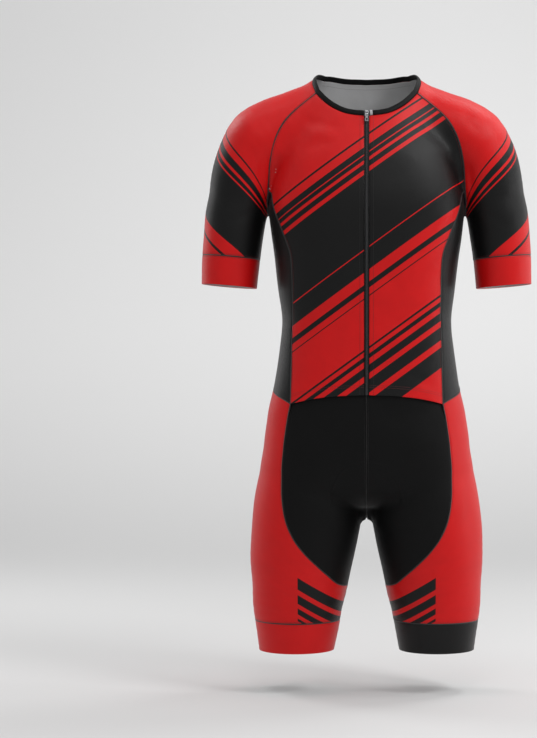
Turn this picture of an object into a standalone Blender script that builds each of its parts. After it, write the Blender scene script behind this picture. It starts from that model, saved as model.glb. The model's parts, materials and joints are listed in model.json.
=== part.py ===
"""One-piece cycling suit, short sleeved, filled out as if worn and held up at the shoulders.

Metres, +Z up, the wearer faces -Y. The origin lies between the shoulders, where the suit is carried.
The cloth lies on a smooth general form: a trunk of oval sections with arms and legs of round
sections blended into it. Seams are curves on that form, a panel is a grid between four seams, and
a wall is that grid with a second skin inside it. Only the +X half is worked out; the other mirrors it.
"""

import math

import bmesh
import bpy
import numpy as np

# Driving sizes
CLOTH = 0.0015
BAND_CLOTH = 0.0018
COLLAR_CLOTH = 0.0022
SEAM_GAP = 0.0003
ZIP_WIDTH = 0.0080
COLLAR_HEIGHT = 0.0082

# Levels, counted from the shoulders down
Z_NECK_FRONT = -0.0372
Z_NECK_BACK = 0.0360
Z_ARMPIT = -0.1990
Z_HEM = -0.5060
Z_HIP_BACK = -0.4450
Z_TUCKED_TOP = -0.4600
Z_CROTCH = -0.7120
Z_NOTCH = -0.8330
Z_BAND = -0.8925
Z_LEG_HEM = -0.9435

# Trunk sections: height, half width, front (-Y) and back (+Y) reach
TRUNK = (
    (0.085, 0.072, 0.046, 0.064),
    (0.045, 0.0775, 0.054, 0.070),
    (0.015, 0.0892, 0.066, 0.080),
    (-0.020, 0.104, 0.079, 0.092),
    (-0.055, 0.124, 0.092, 0.104),
    (-0.095, 0.146, 0.106, 0.112),
    (-0.140, 0.160, 0.115, 0.114),
    (-0.190, 0.1680, 0.119, 0.110),
    (-0.2236, 0.1643, 0.118, 0.106),
    (-0.2786, 0.1573, 0.112, 0.100),
    (-0.3337, 0.1505, 0.107, 0.095),
    (-0.3820, 0.1450, 0.103, 0.092),
    (-0.4300, 0.1497, 0.102, 0.093),
    (-0.4850, 0.1577, 0.102, 0.099),
    (-0.5400, 0.1695, 0.103, 0.110),
    (-0.5950, 0.1735, 0.102, 0.120),
    (-0.6400, 0.1660, 0.097, 0.122),
    (-0.6700, 0.1400, 0.084, 0.110),
    (-0.6870, 0.0900, 0.062, 0.085),
    (-0.6970, 0.0500, 0.040, 0.055),
    (-0.7020, 0.0150, 0.015, 0.020),
)
TRUNK_SQUARENESS = 2.5

# Round sections along the arm: centre x, y, z, radius, depth over width
ARM = (
    (0.020, 0.008, -0.0060, 0.0440, 1.10),
    (0.060, 0.008, -0.0130, 0.0508, 1.10),
    (0.095, 0.007, -0.0270, 0.0530, 1.10),
    (0.128, 0.006, -0.0430, 0.0568, 1.10),
    (0.160, 0.005, -0.0580, 0.0598, 1.08),
    (0.181, 0.004, -0.0720, 0.0612, 1.08),
    (0.194, 0.004, -0.0900, 0.0590, 1.08),
    (0.204, 0.004, -0.1120, 0.0575, 1.08),
    (0.2120, 0.005, -0.1400, 0.0560, 1.08),
    (0.2185, 0.006, -0.1700, 0.0530, 1.08),
    (0.2263, 0.006, -0.2050, 0.0521, 1.08),
    (0.2304, 0.006, -0.2400, 0.0508, 1.08),
    (0.2338, 0.006, -0.2800, 0.0493, 1.08),
    (0.2370, 0.006, -0.3300, 0.0474, 1.08),
    (0.2390, 0.006, -0.3600, 0.0465, 1.08),
)

# Round sections along the leg: centre x, y, z, radius, depth over width
LEG = (
    (0.0880, 0.010, -0.6100, 0.0830, 1.18),
    (0.0975, 0.010, -0.6640, 0.0895, 1.12),
    (0.1015, 0.009, -0.7050, 0.0935, 1.08),
    (0.1055, 0.007, -0.7327, 0.0924, 1.06),
    (0.1090, 0.005, -0.7600, 0.0904, 1.04),
    (0.1123, 0.003, -0.7878, 0.0874, 1.03),
    (0.1150, 0.001, -0.8290, 0.0815, 1.03),
    (0.1180, 0.000, -0.8566, 0.0774, 1.03),
    (0.1189, 0.000, -0.8900, 0.0724, 1.03),
    (0.1203, 0.000, -0.9390, 0.0647, 1.03),
    (0.1210, 0.000, -0.9900, 0.0585, 1.03),
)

# How softly the limbs run into the trunk
BLEND_SHOULDER = 0.030
BLEND_ARMPIT = 0.008
FRONT_SHARE = 0.55
BLEND_HIP = 0.022
BLEND_CROTCH = 0.016

# Broad folds pressed into the form: start x, z, end x, z, half width, height, side (-1 front, 1 back)
FOLDS = (
    (0.060, -0.045, 0.150, -0.110, 0.011, 0.0016, -1),
    (0.030, -0.075, 0.120, -0.095, 0.013, -0.0014, -1),
    (0.168, -0.120, 0.176, -0.200, 0.007, 0.0018, -1),
    (0.150, -0.170, 0.120, -0.235, 0.010, 0.0014, -1),
    (0.168, -0.110, 0.176, -0.195, 0.008, 0.0020, 1),
    (0.150, -0.165, 0.090, -0.215, 0.012, 0.0016, 1),
)

# Grid counts, the same on both sides of a shared seam
ROWS_RAGLAN = 8
ROWS_SIDE = 12
ROWS_UNDERARM = 5
ROWS_TUCKED = 3
ROWS_THIGH = 8
ROWS_CENTRE = 5
ROWS_INSEAM = 4
ROWS_BAND = 2
COLS_BODY = 6
COLS_LIMB = 14
SMOOTHING = 24
SIDE_SAG = 0.052

# Seams on the +X half, as x, y, z. None is read off the form, on the side the seam faces.
RAGLAN_FRONT = (
    (0.0866, None, 0.0050),
    (0.1128, None, -0.0163),
    (0.1432, None, -0.0501),
    (0.1600, None, -0.0917),
    (0.1655, None, -0.1300),
    (0.1676, None, -0.1585),
)
RAGLAN_BACK = (
    (0.0750, None, 0.0385),
    (0.1080, None, -0.0100),
    (0.1400, None, -0.0480),
    (0.1575, None, -0.0917),
    (0.1630, None, -0.1300),
    (0.1652, None, -0.1585),
)
UNDERARM_TOP = (0.1730, 0.005, Z_ARMPIT)
UNDERARM = (UNDERARM_TOP, (0.1780, 0.006, -0.235), (0.1835, 0.006, -0.2750))
SIDE_FRONT = (
    (0.1676, None, -0.1585),
    (0.1580, None, -0.1876),
    (0.1458, None, -0.2221),
    (0.1306, None, -0.2611),
    (0.1254, None, -0.3267),
    (0.1256, None, -0.3971),
    (0.1273, None, -0.4644),
    (0.1285, None, -0.5214),
)
SIDE_BACK = (
    (0.1652, None, -0.1585),
    (0.1560, None, -0.1900),
    (0.1430, None, -0.2250),
    (0.1310, None, -0.2700),
    (0.1250, None, -0.3300),
    (0.1235, None, -0.3900),
    (0.1250, None, -0.4550),
)
HEM_FRONT = ((0.0, None, Z_HEM), (0.045, None, Z_HEM - 0.0015), (0.090, None, -0.5125), (0.1285, None, -0.5214))
HIP_BACK = ((0.0, None, Z_HIP_BACK), (0.060, None, -0.4465), (0.1250, None, -0.4550))
HIP_SIDE_MIDDLE = (0.170, 0.004, -0.4880)
NECK_FRONT = (
    (0.0, None, Z_NECK_FRONT),
    (0.030, None, -0.0348),
    (0.0573, None, -0.0230),
    (0.0780, None, -0.0055),
    (0.0866, None, 0.0050),
)
NECK_BACK = ((0.0, None, Z_NECK_BACK), (0.035, None, 0.0368), (0.0750, None, 0.0385))
NECK_SIDE = ((0.0908, -0.036, 0.0170), (0.0910, 0.002, 0.0355))
THIGH_FRONT = (
    (0.1285, None, -0.5214),
    (0.1353, None, -0.5573),
    (0.1395, None, -0.5904),
    (0.1430, None, -0.6336),
    (0.1430, None, -0.6735),
    (0.1387, None, -0.7074),
    (0.1306, None, -0.7341),
    (0.1140, None, -0.7610),
    (0.0938, None, -0.7842),
    (0.0740, None, -0.8025),
    (0.0508, None, -0.8255),
    (0.0313, 0.004, Z_NOTCH),
)
THIGH_BACK = (
    (0.1250, None, -0.4550),
    (0.1330, None, -0.5150),
    (0.1400, None, -0.5800),
    (0.1430, None, -0.6400),
    (0.1420, None, -0.6900),
    (0.1310, None, -0.7341),
    (0.1140, None, -0.7640),
    (0.0938, None, -0.7880),
    (0.0740, None, -0.8070),
    (0.0508, None, -0.8270),
    (0.0313, 0.004, Z_NOTCH),
)
CROTCH = (0.0, 0.006, Z_CROTCH)
CENTRE_FRONT = ((0.0, None, Z_HEM), (0.0, None, -0.60), (0.0, None, -0.66), (0.0, None, -0.694), CROTCH)
CENTRE_BACK = ((0.0, None, Z_HIP_BACK), (0.0, None, -0.53), (0.0, None, -0.62), (0.0, None, -0.69), CROTCH)
INSEAM_UPPER = (CROTCH, (0.012, 0.005, -0.745), (0.0210, 0.005, -0.785), (0.0313, 0.004, Z_NOTCH))
INSEAM_LOWER = ((0.0313, 0.004, Z_NOTCH), (0.0440, 0.0, Z_BAND))

RED = (0.62, 0.02, 0.025)
BLACK = (0.012, 0.012, 0.013)
METAL = (0.55, 0.56, 0.57)


def curve_through(points, count):
    """count + 1 points, evenly spaced, on a smooth curve through the given ones."""
    points = np.array(points, float)
    if len(points) == 2:
        share = np.linspace(0, 1, count + 1)[:, None]
        return points[0] + (points[1] - points[0]) * share
    run = np.concatenate([[0], np.cumsum(np.linalg.norm(np.diff(points, axis=0), axis=1))])
    fine = np.linspace(0, run[-1], 40 * len(points))
    dense = hermite(run, points, fine)
    length = np.concatenate([[0], np.cumsum(np.linalg.norm(np.diff(dense, axis=0), axis=1))])
    even = np.linspace(0, length[-1], count + 1)
    return np.stack([np.interp(even, length, dense[:, k]) for k in range(dense.shape[1])], 1)


def hermite(knots, values, where):
    """Smooth interpolation of the rows of values, given at rising knots."""
    slopes = np.gradient(values, knots, axis=0)
    i = np.clip(np.searchsorted(knots, where, side="right") - 1, 0, len(knots) - 2)
    span = knots[i + 1] - knots[i]
    t = np.clip((where - knots[i]) / span, 0, 1)[:, None]
    span = span[:, None]
    rise = 3 * t**2 - 2 * t**3
    return (
        values[i] * (1 - rise)
        + values[i + 1] * rise
        + slopes[i] * span * (t**3 - 2 * t**2 + t)
        + slopes[i + 1] * span * (t**3 - t**2)
    )


def soft_min(a, b, reach):
    """The lower of two values, rounded off where they come within reach of each other."""
    share = np.clip(0.5 + 0.5 * (b - a) / reach, 0, 1)
    return b * (1 - share) + a * share - reach * share * (1 - share)


TRUNK_ROWS = np.array(TRUNK[::-1], float)


def trunk_distance(p):
    """Signed distance, about, to the oval trunk. Below 0 is inside."""
    row = hermite(TRUNK_ROWS[:, 0], TRUNK_ROWS[:, 1:], p[:, 2])
    half = np.where(p[:, 1] < 0, row[:, 1], row[:, 2])
    across = (np.abs(p[:, 0]) / row[:, 0]) ** TRUNK_SQUARENESS
    along = (np.abs(p[:, 1]) / half) ** TRUNK_SQUARENESS
    ratio = (across + along + 1e-9) ** (1 / TRUNK_SQUARENESS)
    radius = np.hypot(p[:, 0], p[:, 1]) + 1e-6
    below = np.maximum(TRUNK_ROWS[0, 0] - p[:, 2], 0)
    return radius - radius / ratio + below


def limb_rows(table):
    """The limb's sections, filled in closely along its length."""
    return curve_through(table, 3 * len(table))


def limb_distance(p, rows):
    """Signed distance, about, to a chain of round sections stretched in depth."""
    start, run = rows[:-1, [0, 2]], np.diff(rows[:, [0, 2]], axis=0)
    rel = p[:, None][:, :, [0, 2]] - start
    t = np.clip((rel * run).sum(2) / (run**2).sum(1), 0, 1)
    off = rel - t[..., None] * run
    here = rows[:-1, [1, 3, 4]] + t[..., None] * np.diff(rows[:, [1, 3, 4]], axis=0)
    depth = (p[:, None, 1] - here[..., 0]) / here[..., 2]
    return (np.sqrt(off[..., 0] ** 2 + off[..., 1] ** 2 + depth**2) - here[..., 1]).min(1)


ARM_ROWS = limb_rows(ARM)
LEG_ROWS = limb_rows(LEG)


def fold_height(p):
    """How far the broad folds lift the cloth at each point."""
    lift = np.zeros(len(p))
    flat = np.stack([np.abs(p[:, 0]), p[:, 2]], 1)
    for x0, z0, x1, z1, half_width, height, side in FOLDS:
        run = np.array([x1 - x0, z1 - z0])
        t = ((flat - [x0, z0]) @ run) / (run @ run)
        off = np.linalg.norm(flat - [x0, z0] - np.clip(t, 0, 1)[:, None] * run, axis=1)
        fade = np.clip(1 - (2 * t - 1) ** 2, 0, 1) * np.clip(side * p[:, 1] / 0.02, 0, 1)
        lift += height * fade * np.exp(-((off / half_width) ** 2))
    return lift


def form(p):
    """Below 0 inside the filled-out suit, 0 on the outer face of its cloth."""
    half = p * [1, 1, 1]
    half[:, 0] = np.abs(half[:, 0])
    arm = np.full(len(p), 1.0)
    leg = np.full(len(p), 1.0)
    high = p[:, 2] > -0.42
    low = p[:, 2] < -0.48
    if high.any():
        arm[high] = limb_distance(half[high], ARM_ROWS)
    if low.any():
        near = limb_distance(half[low], LEG_ROWS)
        far = limb_distance(half[low] * [-1, 1, 1], LEG_ROWS)
        leg[low] = soft_min(near, far, BLEND_CROTCH)
    share = np.clip((p[:, 2] - (Z_ARMPIT + 0.035)) / 0.07, 0, 1)
    above = np.clip((p[:, 2] - Z_ARMPIT - 0.004) / 0.035, 0, 1)
    aside = np.clip((np.abs(p[:, 1] - 0.005) - 0.012) / 0.035, 0, 1) * FRONT_SHARE * above
    share = np.maximum(share, aside)
    share = share * share * (3 - 2 * share)
    reach = BLEND_ARMPIT + (BLEND_SHOULDER - BLEND_ARMPIT) * share
    upper = soft_min(trunk_distance(p), arm, reach)
    return soft_min(upper, leg, BLEND_HIP) - fold_height(p)


def slope_at(p, value):
    """The form's slope at these points."""
    step = 0.0005
    return np.stack([form(p + np.eye(3)[k] * step) - value for k in range(3)], 1) / step


def outward(p):
    """Unit normals of the form at these points."""
    slope = slope_at(p, form(p))
    return slope / (np.linalg.norm(slope, axis=1)[:, None] + 1e-12)


def settle(p, rounds=8):
    """Moves points straight to the form's surface."""
    p = np.array(p, float)
    for _ in range(rounds):
        value = form(p)
        if np.abs(value).max() < 2e-6:
            break
        slope = slope_at(p, value)
        move = -(value / ((slope**2).sum(1) + 1e-9))[:, None] * slope
        length = np.linalg.norm(move, axis=1)[:, None] + 1e-12
        p = p + move * np.minimum(1, 0.03 / length)
    return p


def shoot(start, direction, reach=0.34):
    """The first place where each ray, from inside, leaves the form."""
    steps = np.linspace(0.004, reach, 28)
    low = np.full(len(start), steps[0])
    high = np.full(len(start), reach)
    found = np.zeros(len(start), bool)
    for near, far in zip(steps[:-1], steps[1:]):
        out = (form(start + direction * far) > 0) & ~found
        low[out], high[out] = near, far
        found |= out
        if found.all():
            break
    for _ in range(13):
        middle = (low + high) / 2
        inside = form(start + direction * middle[:, None]) < 0
        low = np.where(inside, middle, low)
        high = np.where(inside, high, middle)
    return start + direction * ((low + high) / 2)[:, None]


def seam(rows, count, facing=-1):
    """count + 1 points on the form along a seam. A row's None is its y, which the form decides."""
    start = np.array([[v if v is not None else 0.0 for v in row] for row in rows])
    free = np.array([row[1] is None for row in rows])
    points = start.copy()
    points[free] = shoot(start[free], np.tile([0.0, facing, 0.0], (free.sum(), 1)))
    return settle(curve_through(settle(points), count))


def ray_row(a, b, centre, along, outside, count, sag=0.0):
    """A row on the form from a to b, round the centre line's outside, its middle carried along by sag."""
    along = np.array(along, float)
    outside = np.array(outside, float)
    behind = np.array([0.0, 1.0, 0.0])
    angles, shifts = [], []
    for end, point in enumerate((a, b)):
        rel = point - centre
        angle = math.atan2(rel @ behind, rel @ outside)
        if end == 0 and angle > 0.75 * math.pi:
            angle -= 2 * math.pi
        if end == 1 and angle < -0.75 * math.pi:
            angle += 2 * math.pi
        angles.append(angle)
        shifts.append(rel @ along)
    t = np.linspace(0, 1, 3 * count + 1)[:, None]
    angle = angles[0] + (angles[1] - angles[0]) * t
    start = centre + (shifts[0] + (shifts[1] - shifts[0]) * t + sag * 4 * t * (1 - t)) * along
    reach = 1.7 * max(np.linalg.norm(np.cross(point - centre, along)) for point in (a, b))
    points = shoot(start, np.cos(angle) * outside + np.sin(angle) * behind, reach)
    row = curve_through(points, count)
    row[0], row[-1] = a, b
    return row


def fill(left, right, frames, count, top=None, bottom=None):
    """A grid on the form between two seams, rows from the top, evened out by smoothing."""
    rows = [ray_row(a, b, *frame[:3], count, *frame[3:]) for a, b, frame in zip(left, right, frames)]
    grid = np.array(rows)
    if top is not None:
        grid[0] = top
    if bottom is not None:
        grid[-1] = bottom
    shape = grid[1:-1, 1:-1].shape
    for turn in range(SMOOTHING):
        middle = (grid[:-2, 1:-1] + grid[2:, 1:-1] + grid[1:-1, :-2] + grid[1:-1, 2:]) / 4
        grid[1:-1, 1:-1] = settle(middle.reshape(-1, 3), 2).reshape(shape)
    grid[1:-1, 1:-1] = settle(grid[1:-1, 1:-1].reshape(-1, 3)).reshape(shape)
    return grid


def mirrored(grid):
    """The same grid on the other side of the suit."""
    return grid * [-1, 1, 1]


def apart(grid, edges):
    """Draws the named edges of a grid in by half the seam gap, corners on both sides at once."""
    wanted = {}
    for edge, (line, beside) in {
        "top": ((0, slice(None)), (1, slice(None))),
        "bottom": ((-1, slice(None)), (-2, slice(None))),
        "left": ((slice(None), 0), (slice(None), 1)),
        "right": ((slice(None), -1), (slice(None), -2)),
    }.items():
        if edge not in edges:
            continue
        way = grid[beside] - grid[line]
        # Only the part square to the seam opens the gap
        run = np.gradient(grid[line], axis=0)
        run /= np.linalg.norm(run, axis=1)[:, None] + 1e-12
        way -= (way * run).sum(1)[:, None] * run
        way /= np.linalg.norm(way, axis=1)[:, None] + 1e-12
        fixed = line[0] if isinstance(line[0], int) else line[1]
        for k, direction in enumerate(way):
            place = (fixed % grid.shape[0], k) if isinstance(line[0], int) else (k, fixed % grid.shape[1])
            wanted.setdefault(place, []).append((direction, edges[edge]))
    moved = grid.copy()
    for place, pulls in wanted.items():
        ways = np.array([pull[0] for pull in pulls])
        moved[place] += np.linalg.pinv(ways, rcond=0.05) @ np.array([pull[1] for pull in pulls])
    return moved


def solid(name, outer, inner, colour, closed=False):
    """A named wall between two grids of points."""
    rows, cols = outer.shape[:2]
    mesh = bmesh.new()
    skins = []
    for grid in (outer, inner):
        skins.append([[mesh.verts.new(point) for point in line] for line in grid])
    width = cols if closed else cols - 1
    for i in range(rows - 1):
        for j in range(width):
            k = (j + 1) % cols
            for skin in skins:
                mesh.faces.new((skin[i][j], skin[i][k], skin[i + 1][k], skin[i + 1][j]))
    edges = []
    for i in (0, rows - 1):
        edges += [((i, j), (i, (j + 1) % cols)) for j in range(width)]
    if not closed:
        for j in (0, cols - 1):
            edges += [((i, j), (i + 1, j)) for i in range(rows - 1)]
    for (i, j), (k, l) in edges:
        # Both sides of a seam split their rims along the same diagonal
        if outer[i, j, 2] < outer[k, l, 2]:
            i, j, k, l = k, l, i, j
        a, b = skins[0][i][j], skins[0][k][l]
        c, d = skins[1][k][l], skins[1][i][j]
        mesh.faces.new((a, b, c))
        mesh.faces.new((a, c, d))
    return finished(name, mesh, colour)


def finished(name, mesh, colour, metallic=0.0):
    """Puts a closed mesh into the scene under its node name."""
    bmesh.ops.recalc_face_normals(mesh, faces=mesh.faces)
    if mesh.calc_volume(signed=True) < 0:
        bmesh.ops.reverse_faces(mesh, faces=mesh.faces)
    data = bpy.data.meshes.new(name)
    mesh.to_mesh(data)
    mesh.free()
    thing = bpy.data.objects.new(name, data)
    bpy.context.collection.objects.link(thing)
    material = bpy.data.materials.new(name)
    material.use_nodes = True
    shader = material.node_tree.nodes["Principled BSDF"]
    shader.inputs["Base Color"].default_value = (*colour, 1)
    shader.inputs["Roughness"].default_value = 0.35 if metallic else 0.75
    shader.inputs["Metallic"].default_value = metallic
    data.materials.append(material)
    return thing


def cloth(name, grid, colour, edges, wall=CLOTH, drop=None, closed=False):
    """A cloth piece on a grid of the form, and its mirror image."""
    grid = apart(grid, edges)
    flat = grid.reshape(-1, 3)
    normal = outward(flat).reshape(grid.shape)
    lowered = np.zeros(grid.shape[:2]) if drop is None else drop
    outer = grid - normal * lowered[..., None]
    return solid(name, outer, outer - normal * wall, colour, closed)


HALF_GAP = SEAM_GAP / 2


def pair(name, grid, colour, edges, wall=CLOTH, drop=None, closed=False):
    """The left piece (+X, the wearer's left) and its mirror, both wound the same way."""
    cloth(name + "_right", mirrored(grid), colour, edges, wall, drop, closed)
    turned = {{"left": "right", "right": "left"}.get(edge, edge): gap for edge, gap in edges.items()}
    drop = None if drop is None else drop[:, ::-1]
    cloth(name + "_left", grid[:, ::-1], colour, turned, wall, drop, closed)


def frames_trunk(levels, x=0.0):
    """Upright centre lines for rows that go round the trunk or a leg."""
    return [(np.array([x, 0.0, 0.0]), (0, 0, 1), (1, 0, 0)) for _ in levels]


def joined(*lines):
    """One seam out of several that follow each other."""
    return np.concatenate([lines[0]] + [line[1:] for line in lines[1:]])


def through_middle(a, middle, b, count):
    """A seam from a to b over a middle point, evenly spaced."""
    return settle(curve_through([a, settle([middle])[0], b], count))


for thing in list(bpy.data.objects):
    bpy.data.objects.remove(thing, do_unlink=True)

# Seams
raglan_front = seam(RAGLAN_FRONT, ROWS_RAGLAN)
raglan_back = seam(RAGLAN_BACK, ROWS_RAGLAN, 1)
underarm = seam(UNDERARM, ROWS_UNDERARM)
half_limb = COLS_LIMB // 2
armhole_front = through_middle(raglan_front[-1], (0.1697, -0.0220, -0.1810), underarm[0], half_limb)
armhole_back = through_middle(raglan_back[-1], (0.1685, 0.0290, -0.1810), underarm[0], half_limb)
side_front = seam(SIDE_FRONT, ROWS_SIDE)
side_back = seam(SIDE_BACK, ROWS_SIDE, 1)
side_front[0], side_back[0] = raglan_front[-1], raglan_back[-1]
hip_side = through_middle(side_front[-1], HIP_SIDE_MIDDLE, side_back[-1], COLS_LIMB)
neck_front = seam(NECK_FRONT, COLS_BODY)
neck_back = seam(NECK_BACK, COLS_BODY, 1)
neck_front[-1], neck_back[-1] = raglan_front[0], raglan_back[0]
neck_side = settle(curve_through([raglan_front[0], *settle(NECK_SIDE), raglan_back[0]], COLS_LIMB))
hem_front = seam(HEM_FRONT, COLS_BODY)
hem_front[-1] = side_front[-1]
hip_back = seam(HIP_BACK, COLS_BODY, 1)
hip_back[-1] = side_back[-1]
thigh_front = seam(THIGH_FRONT, ROWS_THIGH + COLS_BODY)
thigh_back = seam(THIGH_BACK, ROWS_THIGH + COLS_BODY, 1)
thigh_front[0], thigh_back[0] = side_front[-1], side_back[-1]
thigh_back[-1] = thigh_front[-1]
inseam_upper = seam(INSEAM_UPPER, ROWS_THIGH - ROWS_CENTRE)
inseam_lower = seam(INSEAM_LOWER, ROWS_INSEAM)
inseam_upper[-1] = inseam_lower[0] = thigh_front[-1]
centre_front = seam(CENTRE_FRONT, ROWS_CENTRE)
centre_back = seam(CENTRE_BACK, ROWS_CENTRE, 1)
for line in (centre_front, centre_back):
    line[:, 0] = 0
inseam_upper[0, 0] = 0
centre_front[-1] = centre_back[-1] = inseam_upper[0]

# Jersey front, two halves beside the zip
zip_edge = ZIP_WIDTH / 2 + HALF_GAP
chest_line = joined(
    seam(((0, None, Z_NECK_FRONT), (0, None, -0.165)), ROWS_RAGLAN),
    seam(((0, None, -0.165), (0, None, Z_HEM)), ROWS_SIDE),
)
chest_line[:, 0] = zip_edge
chest_line = settle(chest_line)
neck_front[0], hem_front[0] = chest_line[0], chest_line[-1]
neck_front[1:-1] = settle(curve_through(neck_front, COLS_BODY))[1:-1]
front_seam = joined(raglan_front, side_front)
front = fill(chest_line, front_seam, frames_trunk(chest_line), COLS_BODY, neck_front, hem_front)
lift = np.zeros(front.shape[:2])
lift[-1, 1:-1] = -0.0012
lift[-1, 0] = -0.0010
lift[-2, :-1] = -0.0004
pair("front", front, RED, {"top": HALF_GAP, "left": HALF_GAP, "right": HALF_GAP}, drop=lift)

# Jersey back, one piece
spine_line = joined(
    seam(((0, None, Z_NECK_BACK), (0, None, -0.165)), ROWS_RAGLAN, 1),
    seam(((0, None, -0.165), (0, None, Z_HIP_BACK)), ROWS_SIDE, 1),
)
back_seam = joined(raglan_back, side_back)
back_half = fill(back_seam, spine_line, frames_trunk(spine_line), COLS_BODY, neck_back[::-1], hip_back[::-1])
back = np.concatenate([back_half, mirrored(back_half)[:, -2::-1]], axis=1)
cloth("back", back, RED, {"top": HALF_GAP, "bottom": HALF_GAP, "left": HALF_GAP, "right": HALF_GAP})

# Jersey side panels
armhole = joined(armhole_front, armhole_back[::-1])
sags = -SIDE_SAG * np.linspace(1, 0, ROWS_SIDE + 1) ** 2
frames = [(*frame, sag) for frame, sag in zip(frames_trunk(side_front), sags)]
side = fill(side_front, side_back, frames, COLS_LIMB, armhole, hip_side)
ALL_EDGES = {"top": HALF_GAP, "bottom": HALF_GAP, "left": HALF_GAP, "right": HALF_GAP}
pair("side", side, BLACK, ALL_EDGES)

# Sleeves
sleeve_front = joined(raglan_front, armhole_front, underarm)
sleeve_back = joined(raglan_back, armhole_back, underarm)
arm_line = curve_through([row[:3] for row in ARM[1:13]], 60)
arm_way = np.gradient(arm_line, axis=0)
for turn in range(12):
    arm_way[1:-1] = (arm_way[:-2] + arm_way[2:]) / 2
arm_way[:, 1] = 0
arm_way /= np.linalg.norm(arm_way, axis=1)[:, None]


def arm_frame(share):
    """Centre, direction and outside of the arm at a share of its length."""
    place = share * (len(arm_line) - 1)
    low = min(int(place), len(arm_line) - 2)
    part = place - low
    centre = arm_line[low] * (1 - part) + arm_line[low + 1] * part
    along = arm_way[low] * (1 - part) + arm_way[low + 1] * part
    along = along / np.linalg.norm(along)
    return centre, along, np.array([-along[2], 0.0, along[0]])


ROWS_ARMHOLE = ROWS_RAGLAN + half_limb
SHARE_ARMPIT = 0.735
shares = np.concatenate(
    [
        np.linspace(0.08, SHARE_ARMPIT, ROWS_ARMHOLE + 1),
        np.linspace(SHARE_ARMPIT, 0.985, ROWS_UNDERARM + 1)[1:],
    ]
)
arm_frames = [arm_frame(share) for share in shares]
sleeve = fill(sleeve_front, sleeve_back, arm_frames, COLS_LIMB, neck_side)
pair("sleeve", sleeve, RED, ALL_EDGES)


def ring(loop, centre, along, reach, rows):
    """A closed band of rows that carries on from a loop of points."""
    centre, along = np.array(centre), np.array(along)
    lines = [loop[:-1]]
    for i in range(1, rows + 1):
        step = reach * i / rows
        rel = loop[:-1] - centre
        shift = (rel @ along)[:, None] * along
        way = rel - shift
        way /= np.linalg.norm(way, axis=1)[:, None]
        lines.append(shoot(centre + shift + step * along, way))
    return np.array(lines)


centre, along, outside = arm_frame(1.0)
cuff = ring(sleeve[-1], centre, along, 0.0490, ROWS_BAND)
pair("cuff", cuff, RED, {"top": HALF_GAP}, wall=BAND_CLOTH, closed=True)

# Shorts: fronts with a top tucked under the jersey, backs, sides that wrap the lower leg, bands
tucked_line = seam(((0, None, Z_TUCKED_TOP), (0, None, Z_HEM)), ROWS_TUCKED)
tucked_line[:, 0] = 0
tucked_seam = settle(curve_through(side_front[-3:], ROWS_TUCKED))
inner_edge = joined(tucked_line, centre_front, inseam_upper)
outer_edge = joined(tucked_seam, thigh_front[: ROWS_THIGH + 1])
thigh_bottom = thigh_front[ROWS_THIGH:][::-1]
leg_x = np.interp(inner_edge[:, 2], [-0.75, -0.65, -0.5], [0.100, 0.085, 0.06])
frames = [(np.array([x, 0.0, 0.0]), (0, 0, 1), (1, 0, 0)) for x in leg_x]
shorts_front = fill(inner_edge, outer_edge, frames, COLS_BODY, bottom=thigh_bottom)
drop = np.zeros(shorts_front.shape[:2])
drop[: ROWS_TUCKED + 1] = 0.0031
drop[ROWS_TUCKED + 1] = 0.0008
drop[ROWS_TUCKED + 1, -1] = 0
pair("shorts_front", shorts_front, BLACK, {k: HALF_GAP for k in ("left", "right", "bottom")}, drop=drop)

outer_edge = thigh_back[: ROWS_THIGH + 1]
inner_edge = joined(centre_back, inseam_upper)
leg_x = np.interp(inner_edge[:, 2], [-0.75, -0.65, -0.5], [0.100, 0.085, 0.06])
frames = [(np.array([x, 0.0, 0.0]), (0, 0, 1), (1, 0, 0)) for x in leg_x]
shorts_back = fill(outer_edge, inner_edge, frames, COLS_BODY, hip_back[::-1], thigh_back[ROWS_THIGH:])
pair("shorts_back", shorts_back, BLACK, ALL_EDGES)

leg_front = joined(thigh_front, inseam_lower)
leg_back = joined(thigh_back, inseam_lower)
leg_x = np.interp(leg_front[:, 2], [-0.90, -0.82, -0.75, -0.65, -0.52], [0.118, 0.113, 0.106, 0.095, 0.06])
frames = [(np.array([x, 0.0, 0.0]), (0, 0, 1), (1, 0, 0)) for x in leg_x]
leg_side = fill(leg_front, leg_back, frames, COLS_LIMB, hip_side)
pair("shorts_side", leg_side, RED, ALL_EDGES)
band = ring(leg_side[-1], (0.1185, 0.0, Z_BAND), (0, 0, -1), Z_BAND - Z_LEG_HEM, ROWS_BAND)
cloth("leg_band_left", band, BLACK, {"top": HALF_GAP}, wall=BAND_CLOTH, closed=True)
cloth("leg_band_right", mirrored(band), RED, {"top": HALF_GAP}, wall=BAND_CLOTH, closed=True)

# Collar, open at the zip
half_loop = joined(front[0], neck_side, neck_back[::-1])
loop = np.concatenate([half_loop, mirrored(half_loop)[-2::-1]])
normal = outward(loop)
run = np.gradient(loop, axis=0)
rise = np.cross(run, normal)
rise /= np.linalg.norm(rise, axis=1)[:, None]
rise *= np.where(rise[:, 2] < 0, -1, 1)[:, None]
top_way = rise + [0, 0, 0.55]
top_way /= np.linalg.norm(top_way, axis=1)[:, None]
foot = loop + rise * HALF_GAP + normal * 0.0003
crown = foot + rise * COLLAR_HEIGHT / 2 + top_way * COLLAR_HEIGHT / 2
outer = np.array([foot, (foot + crown) / 2 + normal * 0.0003, crown])
inner = outer - normal * COLLAR_CLOTH
for skin in (outer, inner):
    skin[:, 0, 0] = ZIP_WIDTH / 2 + SEAM_GAP
    skin[:, -1, 0] = -ZIP_WIDTH / 2 - SEAM_GAP
solid("collar", outer, inner, BLACK)

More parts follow.
